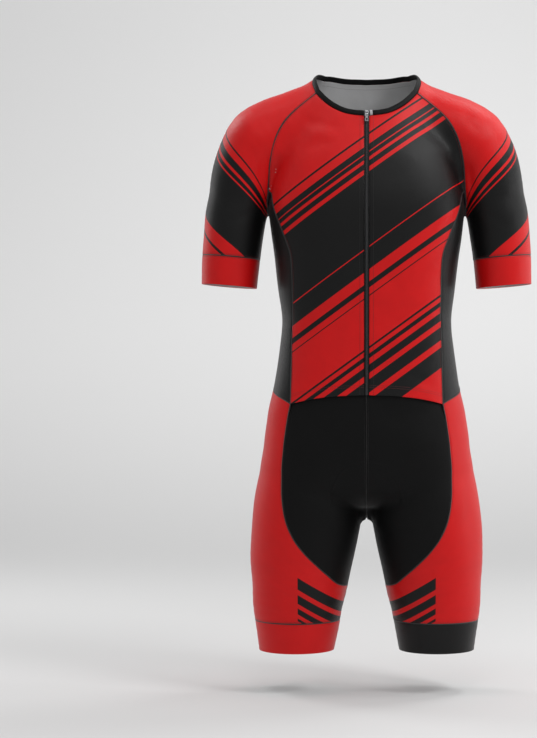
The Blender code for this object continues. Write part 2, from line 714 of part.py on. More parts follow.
# Zip strip down the front, through the collar's opening
line = np.concatenate([crown[:1], foot[:1], chest_line[1:]])
line[:, 0] = ZIP_WIDTH / 2
normal = outward(line)
proud = line + normal * 0.0005
outer = np.stack([mirrored(proud), proud], axis=1)
inner = outer - np.stack([mirrored(normal), normal], axis=1) * 0.0022
solid("zip", outer, inner, BLACK)


# Slider and pull tab at the top of the zip. Local x, a (down the zip) and b (away from the cloth)
rail = proud * [0, 1, 1]
steps = np.concatenate([[0], np.cumsum(np.linalg.norm(np.diff(rail, axis=0), axis=1))])
top, low = (
    np.array([np.interp(reach, steps, rail[:, k]) for k in range(3)]) for reach in (0.0004, 0.0230)
)
DOWN = (low - top) / np.linalg.norm(low - top)
OUT = np.cross(DOWN, [1.0, 0.0, 0.0])
OUT *= -1 if OUT[1] > 0 else 1


def local(x, a, b):
    """A point of the slider's own frame."""
    return top + np.array([x, 0, 0]) + DOWN * a + OUT * b


def block(x, a, b):
    """A box between limits of the slider's frame, as an unlinked mesh."""
    mesh = bmesh.new()
    corners = [mesh.verts.new(local(i, j, k)) for i in x for j in a for k in b]
    for face in ((0, 1, 3, 2), (4, 6, 7, 5), (0, 4, 5, 1), (2, 3, 7, 6), (0, 2, 6, 4), (1, 5, 7, 3)):
        mesh.faces.new([corners[k] for k in face])
    bmesh.ops.recalc_face_normals(mesh, faces=mesh.faces)
    return mesh


def joined_blocks(name, blocks, colour):
    """One solid out of overlapping boxes."""
    base = finished(name, block(*blocks[0]), colour, metallic=1.0)
    for limits in blocks[1:]:
        other = finished(name + "_piece", block(*limits), colour)
        cut = base.modifiers.new("join", "BOOLEAN")
        cut.operation = "UNION"
        cut.solver = "EXACT"
        cut.object = other
        graph = bpy.context.evaluated_depsgraph_get()
        result = bpy.data.meshes.new_from_object(base.evaluated_get(graph))
        base.modifiers.clear()
        base.data = result
        bpy.data.objects.remove(other, do_unlink=True)
    return base


SLIDER_BACK = 0.0004
SLIDER_FRONT = 0.0028
joined_blocks(
    "slider",
    (
        ((-0.0030, 0.0030), (0.0000, 0.0080), (SLIDER_BACK, SLIDER_FRONT)),
        ((-0.0011, 0.0011), (0.0012, 0.0023), (SLIDER_FRONT - 0.0004, 0.0060)),
        ((-0.0011, 0.0011), (0.0050, 0.0061), (SLIDER_FRONT - 0.0004, 0.0060)),
        ((-0.0011, 0.0011), (0.0014, 0.0059), (0.0051, 0.0062)),
    ),
    METAL,
)
joined_blocks(
    "pull_tab",
    (
        ((-0.0029, 0.0029), (0.0100, 0.0210), (0.0034, 0.0045)),
        ((-0.0029, -0.0019), (0.0032, 0.0104), (0.00345, 0.00445)),
        ((0.0019, 0.0029), (0.0032, 0.0104), (0.00345, 0.00445)),
        ((-0.0027, 0.0027), (0.0030, 0.0042), (0.0034, 0.0045)),
    ),
    METAL,
)
PIVOT = local(0, 0.0036, 0.00395)
print("pivot", [round(float(v), 6) for v in PIVOT])
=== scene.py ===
"""Looks of the one-piece cycling suit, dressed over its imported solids.

Metres, +Z up, the wearer faces -Y. Each cloth panel is a thin shell on the same general form as its
solid: a coarse grid between four seams, drawn finer, creased and given a grey lining. The print is a
plain set of graded stripes, worked out in the materials. Seams, stitches and the zip's coil are small
meshes laid along the panels' edges.
"""

import json
import math

import bmesh
import bpy
import numpy as np
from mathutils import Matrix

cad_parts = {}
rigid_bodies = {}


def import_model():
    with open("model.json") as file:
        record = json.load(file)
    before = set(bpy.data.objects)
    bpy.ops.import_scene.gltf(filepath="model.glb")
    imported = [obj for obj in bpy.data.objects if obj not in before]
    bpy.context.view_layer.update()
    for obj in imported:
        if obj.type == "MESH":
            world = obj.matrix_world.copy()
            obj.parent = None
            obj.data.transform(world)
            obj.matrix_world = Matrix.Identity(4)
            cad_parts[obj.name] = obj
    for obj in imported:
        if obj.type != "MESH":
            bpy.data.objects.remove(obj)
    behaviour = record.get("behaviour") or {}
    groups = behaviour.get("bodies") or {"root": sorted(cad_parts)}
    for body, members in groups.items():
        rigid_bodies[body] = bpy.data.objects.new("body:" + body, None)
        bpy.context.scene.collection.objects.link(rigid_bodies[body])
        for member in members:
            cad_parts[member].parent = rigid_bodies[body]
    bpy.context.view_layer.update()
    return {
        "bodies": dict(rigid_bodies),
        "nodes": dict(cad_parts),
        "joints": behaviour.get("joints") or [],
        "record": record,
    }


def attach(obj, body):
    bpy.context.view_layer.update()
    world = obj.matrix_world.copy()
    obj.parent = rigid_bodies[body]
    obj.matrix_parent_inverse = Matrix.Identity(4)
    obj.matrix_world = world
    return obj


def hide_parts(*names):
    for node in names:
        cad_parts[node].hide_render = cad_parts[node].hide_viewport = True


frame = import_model()

# Camera: square on, at half the suit's height, with the suit right of the middle as in the photograph
CAMERA_AWAY = 3.4
CAMERA_HEIGHT = -0.4627
LENS = 96.43
SHIFT_X = -0.133
FLOOR = -1.015
FLOOR_TONE = (0.64, 0.64, 0.64)
BACKDROP_TONE = (0.95, 0.95, 0.95)
# Depth at which the floor begins to curve up, the curve's radius, and half the stage's width
CURVE_START = 2.4
CURVE_RADIUS = 5.0
STAGE_HALF_WIDTH = 7.0
# Depths between which the floor's tone turns into the backdrop's
TONE_FROM = 1.8
TONE_TO = 5.2
WORLD_STRENGTH = 0.52
LIGHT_SIZE = (0.8, 0.8)

# Sizes shared with the solids
ZIP_WIDTH = 0.0080
COLLAR_HEIGHT = 0.0082
CUFF_DEPTH = 0.0490

# Levels, counted from the shoulders down
Z_NECK_FRONT = -0.0372
Z_NECK_BACK = 0.0360
Z_RAGLAN_END = -0.165
Z_ARMPIT = -0.1990
Z_HEM = -0.5060
Z_HIP_BACK = -0.4450
Z_TUCKED_TOP = -0.4600
Z_CROTCH = -0.7120
Z_NOTCH = -0.8330
Z_BAND = -0.8925
Z_LEG_HEM = -0.9435

# Trunk sections in millimetres: height, half width, front (-Y) and back (+Y) reach
TRUNK = (
    (85, 72, 46, 64),
    (45, 77.5, 54, 70),
    (15, 89.2, 66, 80),
    (-20, 104, 79, 92),
    (-55, 124, 92, 104),
    (-95, 146, 106, 112),
    (-140, 160, 115, 114),
    (-190, 168, 119, 110),
    (-223.6, 164.3, 118, 106),
    (-278.6, 157.3, 112, 100),
    (-333.7, 150.5, 107, 95),
    (-382, 145, 103, 92),
    (-430, 149.7, 102, 93),
    (-485, 157.7, 102, 99),
    (-540, 169.5, 103, 110),
    (-595, 173.5, 102, 120),
    (-640, 166, 97, 122),
    (-670, 140, 84, 110),
    (-687, 90, 62, 85),
    (-697, 50, 40, 55),
    (-702, 15, 15, 20),
)
TRUNK_SQUARENESS = 2.5

# Round sections along the arm in millimetres: centre x, y, z, radius, and depth over width
ARM = (
    (20, 8, -6, 44, 1.10),
    (60, 8, -13, 50.8, 1.10),
    (95, 7, -27, 53, 1.10),
    (128, 6, -43, 56.8, 1.10),
    (160, 5, -58, 59.8, 1.08),
    (181, 4, -72, 61.2, 1.08),
    (194, 4, -90, 59, 1.08),
    (204, 4, -112, 57.5, 1.08),
    (212, 5, -140, 56, 1.08),
    (218.5, 6, -170, 53, 1.08),
    (226.3, 6, -205, 52.1, 1.08),
    (230.4, 6, -240, 50.8, 1.08),
    (233.8, 6, -280, 49.3, 1.08),
    (237, 6, -330, 47.4, 1.08),
    (239, 6, -360, 46.5, 1.08),
)

# Round sections along the leg, in the same columns
LEG = (
    (88, 10, -610, 83, 1.18),
    (97.5, 10, -664, 89.5, 1.12),
    (101.5, 9, -705, 93.5, 1.08),
    (105.5, 7, -732.7, 92.4, 1.06),
    (109, 5, -760, 90.4, 1.04),
    (112.3, 3, -787.8, 87.4, 1.03),
    (115, 1, -829, 81.5, 1.03),
    (118, 0, -856.6, 77.4, 1.03),
    (118.9, 0, -890, 72.4, 1.03),
    (120.3, 0, -939, 64.7, 1.03),
    (121, 0, -990, 58.5, 1.03),
)

# How softly the limbs run into the trunk
BLEND_SHOULDER = 0.030
BLEND_ARMPIT = 0.008
BLEND_HIP = 0.022
BLEND_CROTCH = 0.016
# The shoulder's blend sets in this far above the armpit, and is full after this run
SHOULDER_START = 0.035
SHOULDER_RUN = 0.07
# In front and behind it sets in lower down, by up to this share, this far from the arm's middle depth
ASIDE_SHARE = 0.55
ASIDE_LEVEL = 0.004
ASIDE_MIDDLE = 0.005
ASIDE_START = 0.012
ASIDE_RUN = 0.035
# The arms matter to the form only above, and the legs only below, these levels
ARMS_ABOVE = -0.42
LEGS_BELOW = -0.48
# How points are moved to the form, and how rays look for where they leave it
CLOSE_ENOUGH = 2e-6
LONGEST_MOVE = 0.03
SLOPE_STEP = 0.0005
RAY_START = 0.004
RAY_STEPS = 28
RAY_HALVINGS = 13
# Folds and creases fade in over this depth from the suit's side line
FOLD_FADE = 0.02

# Broad folds of both halves in millimetres: start x, z, end x, z, half width, height, and
# side (-1 front, 1 back)
FOLDS = (
    (60, -45, 150, -110, 11, 1.6, -1),
    (30, -75, 120, -95, 13, -1.4, -1),
    (168, -120, 176, -200, 7, 1.8, -1),
    (150, -170, 120, -235, 10, 1.4, -1),
    (168, -110, 176, -195, 8, 2, 1),
    (150, -165, 90, -215, 12, 1.6, 1),
)

# Grid counts, the same on both sides of a shared seam
ROWS_RAGLAN = 8
ROWS_SIDE = 12
ROWS_UNDERARM = 5
ROWS_TUCKED = 3
ROWS_THIGH = 8
ROWS_CENTRE = 5
ROWS_INSEAM = 4
ROWS_BAND = 2
COLS_BODY = 6
COLS_LIMB = 14
SMOOTHING = 24
ARM_SMOOTHING = 12
SIDE_SAG = 0.052

# Seams on the +X half, as x, y, z, or as x, z where the form decides y on the side the seam faces
RAGLAN_FRONT = (
    (0.0866, 0.0050), (0.1128, -0.0163), (0.1432, -0.0501), (0.1600, -0.0917), (0.1655, -0.1300),
    (0.1676, -0.1585),
)
RAGLAN_BACK = (
    (0.0750, 0.0385), (0.1080, -0.0100), (0.1400, -0.0480), (0.1575, -0.0917), (0.1630, -0.1300),
    (0.1652, -0.1585),
)
UNDERARM_TOP = (0.1730, 0.005, Z_ARMPIT)
UNDERARM = (UNDERARM_TOP, (0.1780, 0.006, -0.235), (0.1835, 0.006, -0.2750))
SIDE_FRONT = (
    (0.1676, -0.1585), (0.1580, -0.1876), (0.1458, -0.2221), (0.1306, -0.2611), (0.1254, -0.3267),
    (0.1256, -0.3971), (0.1273, -0.4644), (0.1285, -0.5214),
)
SIDE_BACK = (
    (0.1652, -0.1585), (0.1560, -0.1900), (0.1430, -0.2250), (0.1310, -0.2700), (0.1250, -0.3300),
    (0.1235, -0.3900), (0.1250, -0.4550),
)
HEM_FRONT = ((0.0, Z_HEM), (0.045, Z_HEM - 0.0015), (0.090, -0.5125), (0.1285, -0.5214))
HIP_BACK = ((0.0, Z_HIP_BACK), (0.060, -0.4465), (0.1250, -0.4550))
HIP_SIDE_MIDDLE = (0.170, 0.004, -0.4880)
NECK_FRONT = (
    (0.0, Z_NECK_FRONT), (0.030, -0.0348), (0.0573, -0.0230), (0.0780, -0.0055), (0.0866, 0.0050),
)
NECK_BACK = ((0.0, Z_NECK_BACK), (0.035, 0.0368), (0.0750, 0.0385))
NECK_SIDE = ((0.0908, -0.036, 0.0170), (0.0910, 0.002, 0.0355))
THIGH_FRONT = (
    (0.1285, -0.5214), (0.1353, -0.5573), (0.1395, -0.5904), (0.1430, -0.6336), (0.1430, -0.6735),
    (0.1387, -0.7074), (0.1306, -0.7341), (0.1140, -0.7610), (0.0938, -0.7842), (0.0740, -0.8025),
    (0.0508, -0.8255), (0.0313, 0.004, Z_NOTCH),
)
THIGH_BACK = (
    (0.1250, -0.4550), (0.1330, -0.5150), (0.1400, -0.5800), (0.1430, -0.6400), (0.1420, -0.6900),
    (0.1310, -0.7341), (0.1140, -0.7640), (0.0938, -0.7880), (0.0740, -0.8070), (0.0508, -0.8270),
    (0.0313, 0.004, Z_NOTCH),
)
CROTCH = (0.0, 0.006, Z_CROTCH)
CENTRE_FRONT = ((0.0, Z_HEM), (0.0, -0.60), (0.0, -0.66), (0.0, -0.694), CROTCH)
CENTRE_BACK = ((0.0, Z_HIP_BACK), (0.0, -0.53), (0.0, -0.62), (0.0, -0.69), CROTCH)
INSEAM_UPPER = (CROTCH, (0.012, 0.005, -0.745), (0.0210, 0.005, -0.785), (0.0313, 0.004, Z_NOTCH))
INSEAM_LOWER = ((0.0313, 0.004, Z_NOTCH), (0.0440, 0.0, Z_BAND))


def in_metres(table, plain=0):
    """A table's rows turned from millimetres to metres, but for its last plain columns."""
    rows = np.array(table, float)
    last = rows.shape[1] - plain
    rows[:, :last] = np.round(rows[:, :last] / 1000, 7)
    return rows


def unit(ways, least=0.0):
    """Ways with a length of 1. A least length keeps empty ones from dividing by nothing."""
    return ways / (np.linalg.norm(ways, axis=-1, keepdims=True) + least)


def steps_along(grid):
    """Distance along the grid's first axis from its first row."""
    lengths = np.linalg.norm(np.diff(grid, axis=0), axis=-1)
    return np.concatenate([np.zeros((1, *lengths.shape[1:])), np.cumsum(lengths, axis=0)])


def read_at(run, line, where):
    """The points at these distances along a line, whose own points lie at the distances in run."""
    return np.stack([np.interp(where, run, column) for column in line.T], -1)


def hermite(knots, values, where):
    """Smooth interpolation of the rows of values, given at rising knots."""
    slopes = np.gradient(values, knots, axis=0)
    i = np.clip(np.searchsorted(knots, where, side="right") - 1, 0, len(knots) - 2)
    span = knots[i + 1] - knots[i]
    t = np.clip((where - knots[i]) / span, 0, 1)
    span, t = (column.reshape(-1, *[1] * (values.ndim - 1)) for column in (span, t))
    rise = 3 * t**2 - 2 * t**3
    return (
        values[i] * (1 - rise)
        + values[i + 1] * rise
        + slopes[i] * span * (t**3 - 2 * t**2 + t)
        + slopes[i + 1] * span * (t**3 - t**2)
    )


def drawn_along(grid, places):
    """The grid's first axis read smoothly at other places, counted in its rows."""
    return hermite(np.arange(len(grid)), grid, places)


def curve_through(points, count):
    """count + 1 points, evenly spaced, on a smooth curve through the given ones."""
    points = np.array(points, float)
    if len(points) == 2:
        share = np.linspace(0, 1, count + 1)[:, None]
        return points[0] + (points[1] - points[0]) * share
    run = steps_along(points)
    dense = hermite(run, points, np.linspace(0, run[-1], 40 * len(points)))
    length = steps_along(dense)
    return read_at(length, dense, np.linspace(0, length[-1], count + 1))


def mirrored(grid):
    """The same grid on the other side of the suit."""
    return grid * [-1, 1, 1]


def soft_min(a, b, reach):
    """The lower of two values, rounded off where they come within reach of each other."""
    share = np.clip(0.5 + 0.5 * (b - a) / reach, 0, 1)
    return b * (1 - share) + a * share - reach * share * (1 - share)


TRUNK_ROWS = in_metres(TRUNK[::-1])
ARM_ROWS = in_metres(ARM, 1)
LEG_ROWS = in_metres(LEG, 1)
# The limbs' sections, filled in closely along their length
ARM_FINE = curve_through(ARM_ROWS, 3 * len(ARM))
LEG_FINE = curve_through(LEG_ROWS, 3 * len(LEG))
FOLD_ROWS = in_metres(FOLDS, 1)


def trunk_distance(p):
    """Signed distance, about, to the oval trunk. Below 0 is inside."""
    row = hermite(TRUNK_ROWS[:, 0], TRUNK_ROWS[:, 1:], p[:, 2])
    half = np.where(p[:, 1] < 0, row[:, 1], row[:, 2])
    across = (np.abs(p[:, 0]) / row[:, 0]) ** TRUNK_SQUARENESS
    along = (np.abs(p[:, 1]) / half) ** TRUNK_SQUARENESS
    ratio = (across + along + 1e-9) ** (1 / TRUNK_SQUARENESS)
    radius = np.hypot(p[:, 0], p[:, 1]) + 1e-6
    below = np.maximum(TRUNK_ROWS[0, 0] - p[:, 2], 0)
    return radius - radius / ratio + below


def limb_distance(p, rows):
    """Signed distance, about, to a chain of round sections stretched in depth."""
    start, run = rows[:-1, [0, 2]], np.diff(rows[:, [0, 2]], axis=0)
    rel = p[:, None][:, :, [0, 2]] - start
    t = np.clip((rel * run).sum(2) / (run**2).sum(1), 0, 1)
    off = rel - t[..., None] * run
    here = rows[:-1, [1, 3, 4]] + t[..., None] * np.diff(rows[:, [1, 3, 4]], axis=0)
    depth = (p[:, None, 1] - here[..., 0]) / here[..., 2]
    return (np.sqrt(off[..., 0] ** 2 + off[..., 1] ** 2 + depth**2) - here[..., 1]).min(1)


def pressed(p, flat, folds):
    """How far folds lift the cloth at each point, whose place in the folds' own x and z is flat."""
    lift = np.zeros(len(p))
    for x0, z0, x1, z1, half_width, height, side in folds:
        run = np.array([x1 - x0, z1 - z0])
        t = ((flat - [x0, z0]) @ run) / (run @ run)
        off = np.linalg.norm(flat - [x0, z0] - np.clip(t, 0, 1)[:, None] * run, axis=1)
        fade = np.clip(1 - (2 * t - 1) ** 2, 0, 1) * np.clip(side * p[:, 1] / FOLD_FADE, 0, 1)
        lift += height * fade * np.exp(-((off / half_width) ** 2))
    return lift


def form(p):
    """Below 0 inside the filled-out suit, 0 on the outer face of its cloth."""
    half = np.array(p)
    half[:, 0] = np.abs(half[:, 0])
    arm = np.full(len(p), 1.0)
    leg = np.full(len(p), 1.0)
    high = p[:, 2] > ARMS_ABOVE
    low = p[:, 2] < LEGS_BELOW
    if high.any():
        arm[high] = limb_distance(half[high], ARM_FINE)
    if low.any():
        near = limb_distance(half[low], LEG_FINE)
        far = limb_distance(mirrored(half[low]), LEG_FINE)
        leg[low] = soft_min(near, far, BLEND_CROTCH)
    share = np.clip((p[:, 2] - (Z_ARMPIT + SHOULDER_START)) / SHOULDER_RUN, 0, 1)
    above = np.clip((p[:, 2] - Z_ARMPIT - ASIDE_LEVEL) / ASIDE_RUN, 0, 1)
    aside = np.clip((np.abs(p[:, 1] - ASIDE_MIDDLE) - ASIDE_START) / ASIDE_RUN, 0, 1) * ASIDE_SHARE * above
    share = np.maximum(share, aside)
    share = share * share * (3 - 2 * share)
    reach = BLEND_ARMPIT + (BLEND_SHOULDER - BLEND_ARMPIT) * share
    upper = soft_min(trunk_distance(p), arm, reach)
    return soft_min(upper, leg, BLEND_HIP) - pressed(p, np.stack([half[:, 0], p[:, 2]], 1), FOLD_ROWS)


def slope_at(p, value):
    """The form's slope at these points."""
    return np.stack([form(p + np.eye(3)[k] * SLOPE_STEP) - value for k in range(3)], 1) / SLOPE_STEP


def outward(p):
    """Unit normals of the form at these points."""
    return unit(slope_at(p, form(p)), 1e-12)


def settle(p, rounds=8):
    """Moves points straight to the form's surface."""
    p = np.array(p, float)
    for _ in range(rounds):
        value = form(p)
        if np.abs(value).max() < CLOSE_ENOUGH:
            break
        slope = slope_at(p, value)
        move = -(value / ((slope**2).sum(1) + 1e-9))[:, None] * slope
        length = np.linalg.norm(move, axis=1)[:, None] + 1e-12
        p = p + move * np.minimum(1, LONGEST_MOVE / length)
    return p


def shoot(start, direction, reach=0.34):
    """The first place where each ray, from inside, leaves the form."""
    steps = np.linspace(RAY_START, reach, RAY_STEPS)
    low = np.full(len(start), steps[0])
    high = np.full(len(start), reach)
    found = np.zeros(len(start), bool)
    for near, far in zip(steps[:-1], steps[1:]):
        out = (form(start + direction * far) > 0) & ~found
        low[out], high[out] = near, far
        found |= out
        if found.all():
            break
    for _ in range(RAY_HALVINGS):
        middle = (low + high) / 2
        inside = form(start + direction * middle[:, None]) < 0
        low = np.where(inside, middle, low)
        high = np.where(inside, high, middle)
    return start + direction * ((low + high) / 2)[:, None]


def seam(rows, count, facing=-1):
    """count + 1 points on the form along a seam. The form decides y where a row is only x and z."""
    points = np.array([row if len(row) == 3 else (row[0], 0.0, row[1]) for row in rows])
    free = np.array([len(row) == 2 for row in rows])
    points[free] = shoot(points[free], np.tile([0.0, facing, 0.0], (free.sum(), 1)))
    return settle(curve_through(settle(points), count))


def ray_row(a, b, centre, along, outside, count, sag=0.0):
    """A row on the form from a to b, round the centre line's outside, its middle carried along by sag."""
    along = np.array(along, float)
    outside = np.array(outside, float)
    behind = np.array([0.0, 1.0, 0.0])
    angles, shifts = [], []
    for end, point in enumerate((a, b)):
        rel = point - centre
        angle = math.atan2(rel @ behind, rel @ outside)
        if end == 0 and angle > 0.75 * math.pi:
            angle -= 2 * math.pi
        if end == 1 and angle < -0.75 * math.pi:
            angle += 2 * math.pi
        angles.append(angle)
        shifts.append(rel @ along)
    t = np.linspace(0, 1, 3 * count + 1)[:, None]
    angle = angles[0] + (angles[1] - angles[0]) * t
    start = centre + (shifts[0] + (shifts[1] - shifts[0]) * t + sag * 4 * t * (1 - t)) * along
    reach = 1.7 * max(np.linalg.norm(np.cross(point - centre, along)) for point in (a, b))
    points = shoot(start, np.cos(angle) * outside + np.sin(angle) * behind, reach)
    row = curve_through(points, count)
    row[0], row[-1] = a, b
    return row


def fill(left, right, frames, count, top=None, bottom=None):
    """A grid on the form between two seams, rows from the top, evened out by smoothing."""
    rows = [ray_row(a, b, *frame[:3], count, *frame[3:]) for a, b, frame in zip(left, right, frames)]
    grid = np.array(rows)
    if top is not None:
        grid[0] = top
    if bottom is not None:
        grid[-1] = bottom
    shape = grid[1:-1, 1:-1].shape
    for _ in range(SMOOTHING):
        middle = (grid[:-2, 1:-1] + grid[2:, 1:-1] + grid[1:-1, :-2] + grid[1:-1, 2:]) / 4
        grid[1:-1, 1:-1] = settle(middle.reshape(-1, 3), 2).reshape(shape)
    grid[1:-1, 1:-1] = settle(grid[1:-1, 1:-1].reshape(-1, 3)).reshape(shape)
    return grid


class Nodes:
    """A material's node tree with short calls for what the cloth needs."""

    def __init__(self, name):
        self.material = bpy.data.materials.new(name)
        self.material.use_nodes = True
        self.tree = self.material.node_tree
        self.shader = self.tree.nodes["Principled BSDF"]

    def new(self, kind, **settings):
        """A node, with its settings by name."""
        node = self.tree.nodes.new("ShaderNode" + kind)
        for key, value in settings.items():
            setattr(node, key, value)
        return node

    def plug(self, source, target):
        """Links a socket, or sets a plain value."""
        if isinstance(source, bpy.types.NodeSocket):
            self.tree.links.new(source, target)
        else:
            target.default_value = source

    def maths(self, operation, *values):
        """The result of a maths node."""
        node = self.new("Math", operation=operation)
        for socket, value in zip(node.inputs, values):
            self.plug(value, socket)
        return node.outputs[0]

    def dress(self, values):
        """Links or sets the shader's inputs by name."""
        for name, value in values.items():
            self.plug(value, self.shader.inputs[name])

    def parts(self, vector):
        """A vector's x, y and z."""
        split = self.new("SeparateXYZ")
        self.plug(vector, split.inputs[0])
        return split.outputs

    def cloth_place(self):
        """The place on the flat cloth, in metres."""
        return self.new("UVMap", uv_map="Cloth").outputs["UV"]

    def at(self):
        """The place in the suit's own frame, as x, y and z."""
        return self.parts(self.new("TexCoord").outputs["Object"])

    def noise(self, place, scale, detail=2.0):
        """A soft noise from 0 to 1."""
        node = self.new("TexNoise")
        self.plug(place, node.inputs["Vector"])
        node.inputs["Scale"].default_value = scale
        node.inputs["Detail"].default_value = detail
        return node.outputs["Fac"]

    def between(self, value, low, high):
        """A value from 0 to 1 carried to another range."""
        node = self.new("MapRange")
        self.plug(value, node.inputs["Value"])
        node.inputs["To Min"].default_value = low
        node.inputs["To Max"].default_value = high
        return node.outputs[0]

    def mixed(self, share, low, high, blend="MIX"):
        """One colour over another."""
        node = self.new("Mix", data_type="RGBA", blend_type=blend)
        self.plug(share, node.inputs["Factor"])
        for socket, colour in ((node.inputs[6], low), (node.inputs[7], high)):
            self.plug((*colour, 1) if isinstance(colour, tuple) else colour, socket)
        return node.outputs[2]

    def shaded(self, colour, shade):
        """A colour made lighter and darker by a value."""
        tone = self.new("CombineColor")
        for socket in tone.inputs:
            self.plug(shade, socket)
        return self.mixed(1.0, colour, tone.outputs[0], "MULTIPLY")

    def stripes(self, place, table):
        """1 on the table's stripes and 0 between them."""
        low, high = table[0][0] - 0.01, table[-1][1] + 0.01
        node = self.new("ValToRGB")
        self.plug(self.maths("DIVIDE", self.maths("SUBTRACT", place, low), high - low), node.inputs["Fac"])
        ramp = node.color_ramp
        ramp.interpolation = "CONSTANT"
        ramp.elements.remove(ramp.elements[1])
        ramp.elements[0].color = (0, 0, 0, 1)
        for start, end in table:
            ramp.elements.new((start - low) / (high - low)).color = (1, 1, 1, 1)
            ramp.elements.new((end - low) / (high - low)).color = (0, 0, 0, 1)
        return node.outputs["Color"]

    def bumped(self, height, distance, strength, before=None):
        """A bump, over the one before it."""
        node = self.new("Bump")
        node.inputs["Distance"].default_value = distance
        node.inputs["Strength"].default_value = strength
        self.plug(height, node.inputs["Height"])
        if before is not None:
            self.plug(before, node.inputs["Normal"])
        return node.outputs[0]

    def knit(self, pitch, depth):
        """Fine rows and columns of knit loops, as a bump."""
        x, y, _ = self.parts(self.cloth_place())
        turn = 2 * math.pi / pitch
        course = self.maths("SINE", self.maths("MULTIPLY", x, turn))
        half = self.maths("MULTIPLY", course, 0.7)
        wale = self.maths("SINE", self.maths("ADD", self.maths("MULTIPLY", y, turn * 0.8), half))
        height = self.maths("MULTIPLY_ADD", self.maths("MULTIPLY", course, wale), 0.5, 0.5)
        return height, self.bumped(height, depth, 0.5)


# Camera, floor and light
def linked(name, data):
    """A new object in the scene."""
    thing = bpy.data.objects.new(name, data)
    bpy.context.collection.objects.link(thing)
    return thing


def aim(thing, target):
    """Turns a light towards a point."""
    way = np.array(target) - np.array(thing.location)
    thing.rotation_euler = (
        math.atan2(math.hypot(way[0], way[1]), -way[2]),
        0,
        math.atan2(way[1], way[0]) - math.pi / 2,
    )


def soft_light(name, place, target, size, watts):
    """A large rectangular light."""
    data = bpy.data.lights.new(name, "AREA")
    data.shape = "RECTANGLE"
    data.size, data.size_y = size
    data.energy = watts
    light = linked(name, data)
    light.location = place
    aim(light, target)


camera_data = bpy.data.cameras.new("camera")
camera_data.lens = LENS
camera_data.sensor_width = 36
camera_data.shift_x = SHIFT_X
camera = linked("camera", camera_data)
camera.location = (0, -CAMERA_AWAY, CAMERA_HEIGHT)
camera.rotation_euler = (math.pi / 2, 0, 0)
bpy.context.scene.camera = camera
bpy.context.scene.view_settings.view_transform = "Standard"

world = bpy.data.worlds.new("studio")
world.use_nodes = True
sky = world.node_tree.nodes["Background"].inputs
sky["Color"].default_value = (1, 1, 1, 1)
sky["Strength"].default_value = WORLD_STRENGTH
bpy.context.scene.world = world

SUIT_MIDDLE = (0, 0, -0.45)
LIGHTS = (
    # name, place, watts
    ("key", (1.60, -1.25, 1.37), 28),
    ("front", (0.0, -1.99, 1.37), 6),
    ("top_left", (-0.95, -0.55, 2.06), 7.5),
    ("side_low", (2.60, 0.0, -0.30), 9),
    ("side_high", (2.13, 0.0, 1.19), 7.2),
    ("rim_left_high", (-1.74, 1.22, 1.19), 15),
    ("rim_left_low", (-2.12, 1.49, -0.07), 4),
    ("rim_right_top", (1.06, 0.75, 1.95), 15.9),
    ("rim_right_high", (1.74, 1.22, 1.19), 4.8),
    ("rim_right_low", (2.12, 1.49, -0.07), 3),
)
for light_name, place, watts in LIGHTS:
    soft_light(light_name, place, SUIT_MIDDLE, LIGHT_SIZE, watts)
soft_light("wall", (0.6, 3.5, 2.6), (0.2, 7.0, -0.2), (1.6, 0.8), 30)


def backdrop():
    """A plain pale floor that curves up behind the suit, a little darker where the light is nearest."""
    line = [(-6.0, FLOOR), (-2.0, FLOOR), (CURVE_START, FLOOR)]
    for angle in np.linspace(0, math.pi / 2, 17)[1:]:
        depth = CURVE_START + CURVE_RADIUS * math.sin(angle)
        line.append((depth, FLOOR + CURVE_RADIUS * (1 - math.cos(angle))))
    line.append((CURVE_START + CURVE_RADIUS, 5.0))
    mesh = bpy.data.meshes.new("stage")
    points = [(x, y, z) for y, z in line for x in (-STAGE_HALF_WIDTH, STAGE_HALF_WIDTH)]
    faces = [(2 * i, 2 * i + 1, 2 * i + 3, 2 * i + 2) for i in range(len(line) - 1)]
    mesh.from_pydata(points, [], faces)
    for face in mesh.polygons:
        face.use_smooth = True
    stage = linked("stage", mesh)
    paper = Nodes("pale_paper")
    far = paper.new("MapRange", interpolation_type="SMOOTHSTEP")
    paper.plug(paper.at()[1], far.inputs["Value"])
    far.inputs["From Min"].default_value = TONE_FROM
    far.inputs["From Max"].default_value = TONE_TO
    tone = paper.mixed(far.outputs[0], FLOOR_TONE, BACKDROP_TONE)
    paper.dress({"Base Color": tone, "Roughness": 0.95, "Specular IOR Level": 0.1})
    mesh.materials.append(paper.material)


backdrop()


# Cloth: fine grids, creases and shells
LINING_DEPTH = 0.0012
BAND_DEPTH = 0.0017
FINE_STEPS = 5
CLOSE_TO_EDGE = (0.05, 0.13)
SEAM_DIP = 0.00055
SEAM_DIP_WIDTH = 0.0024

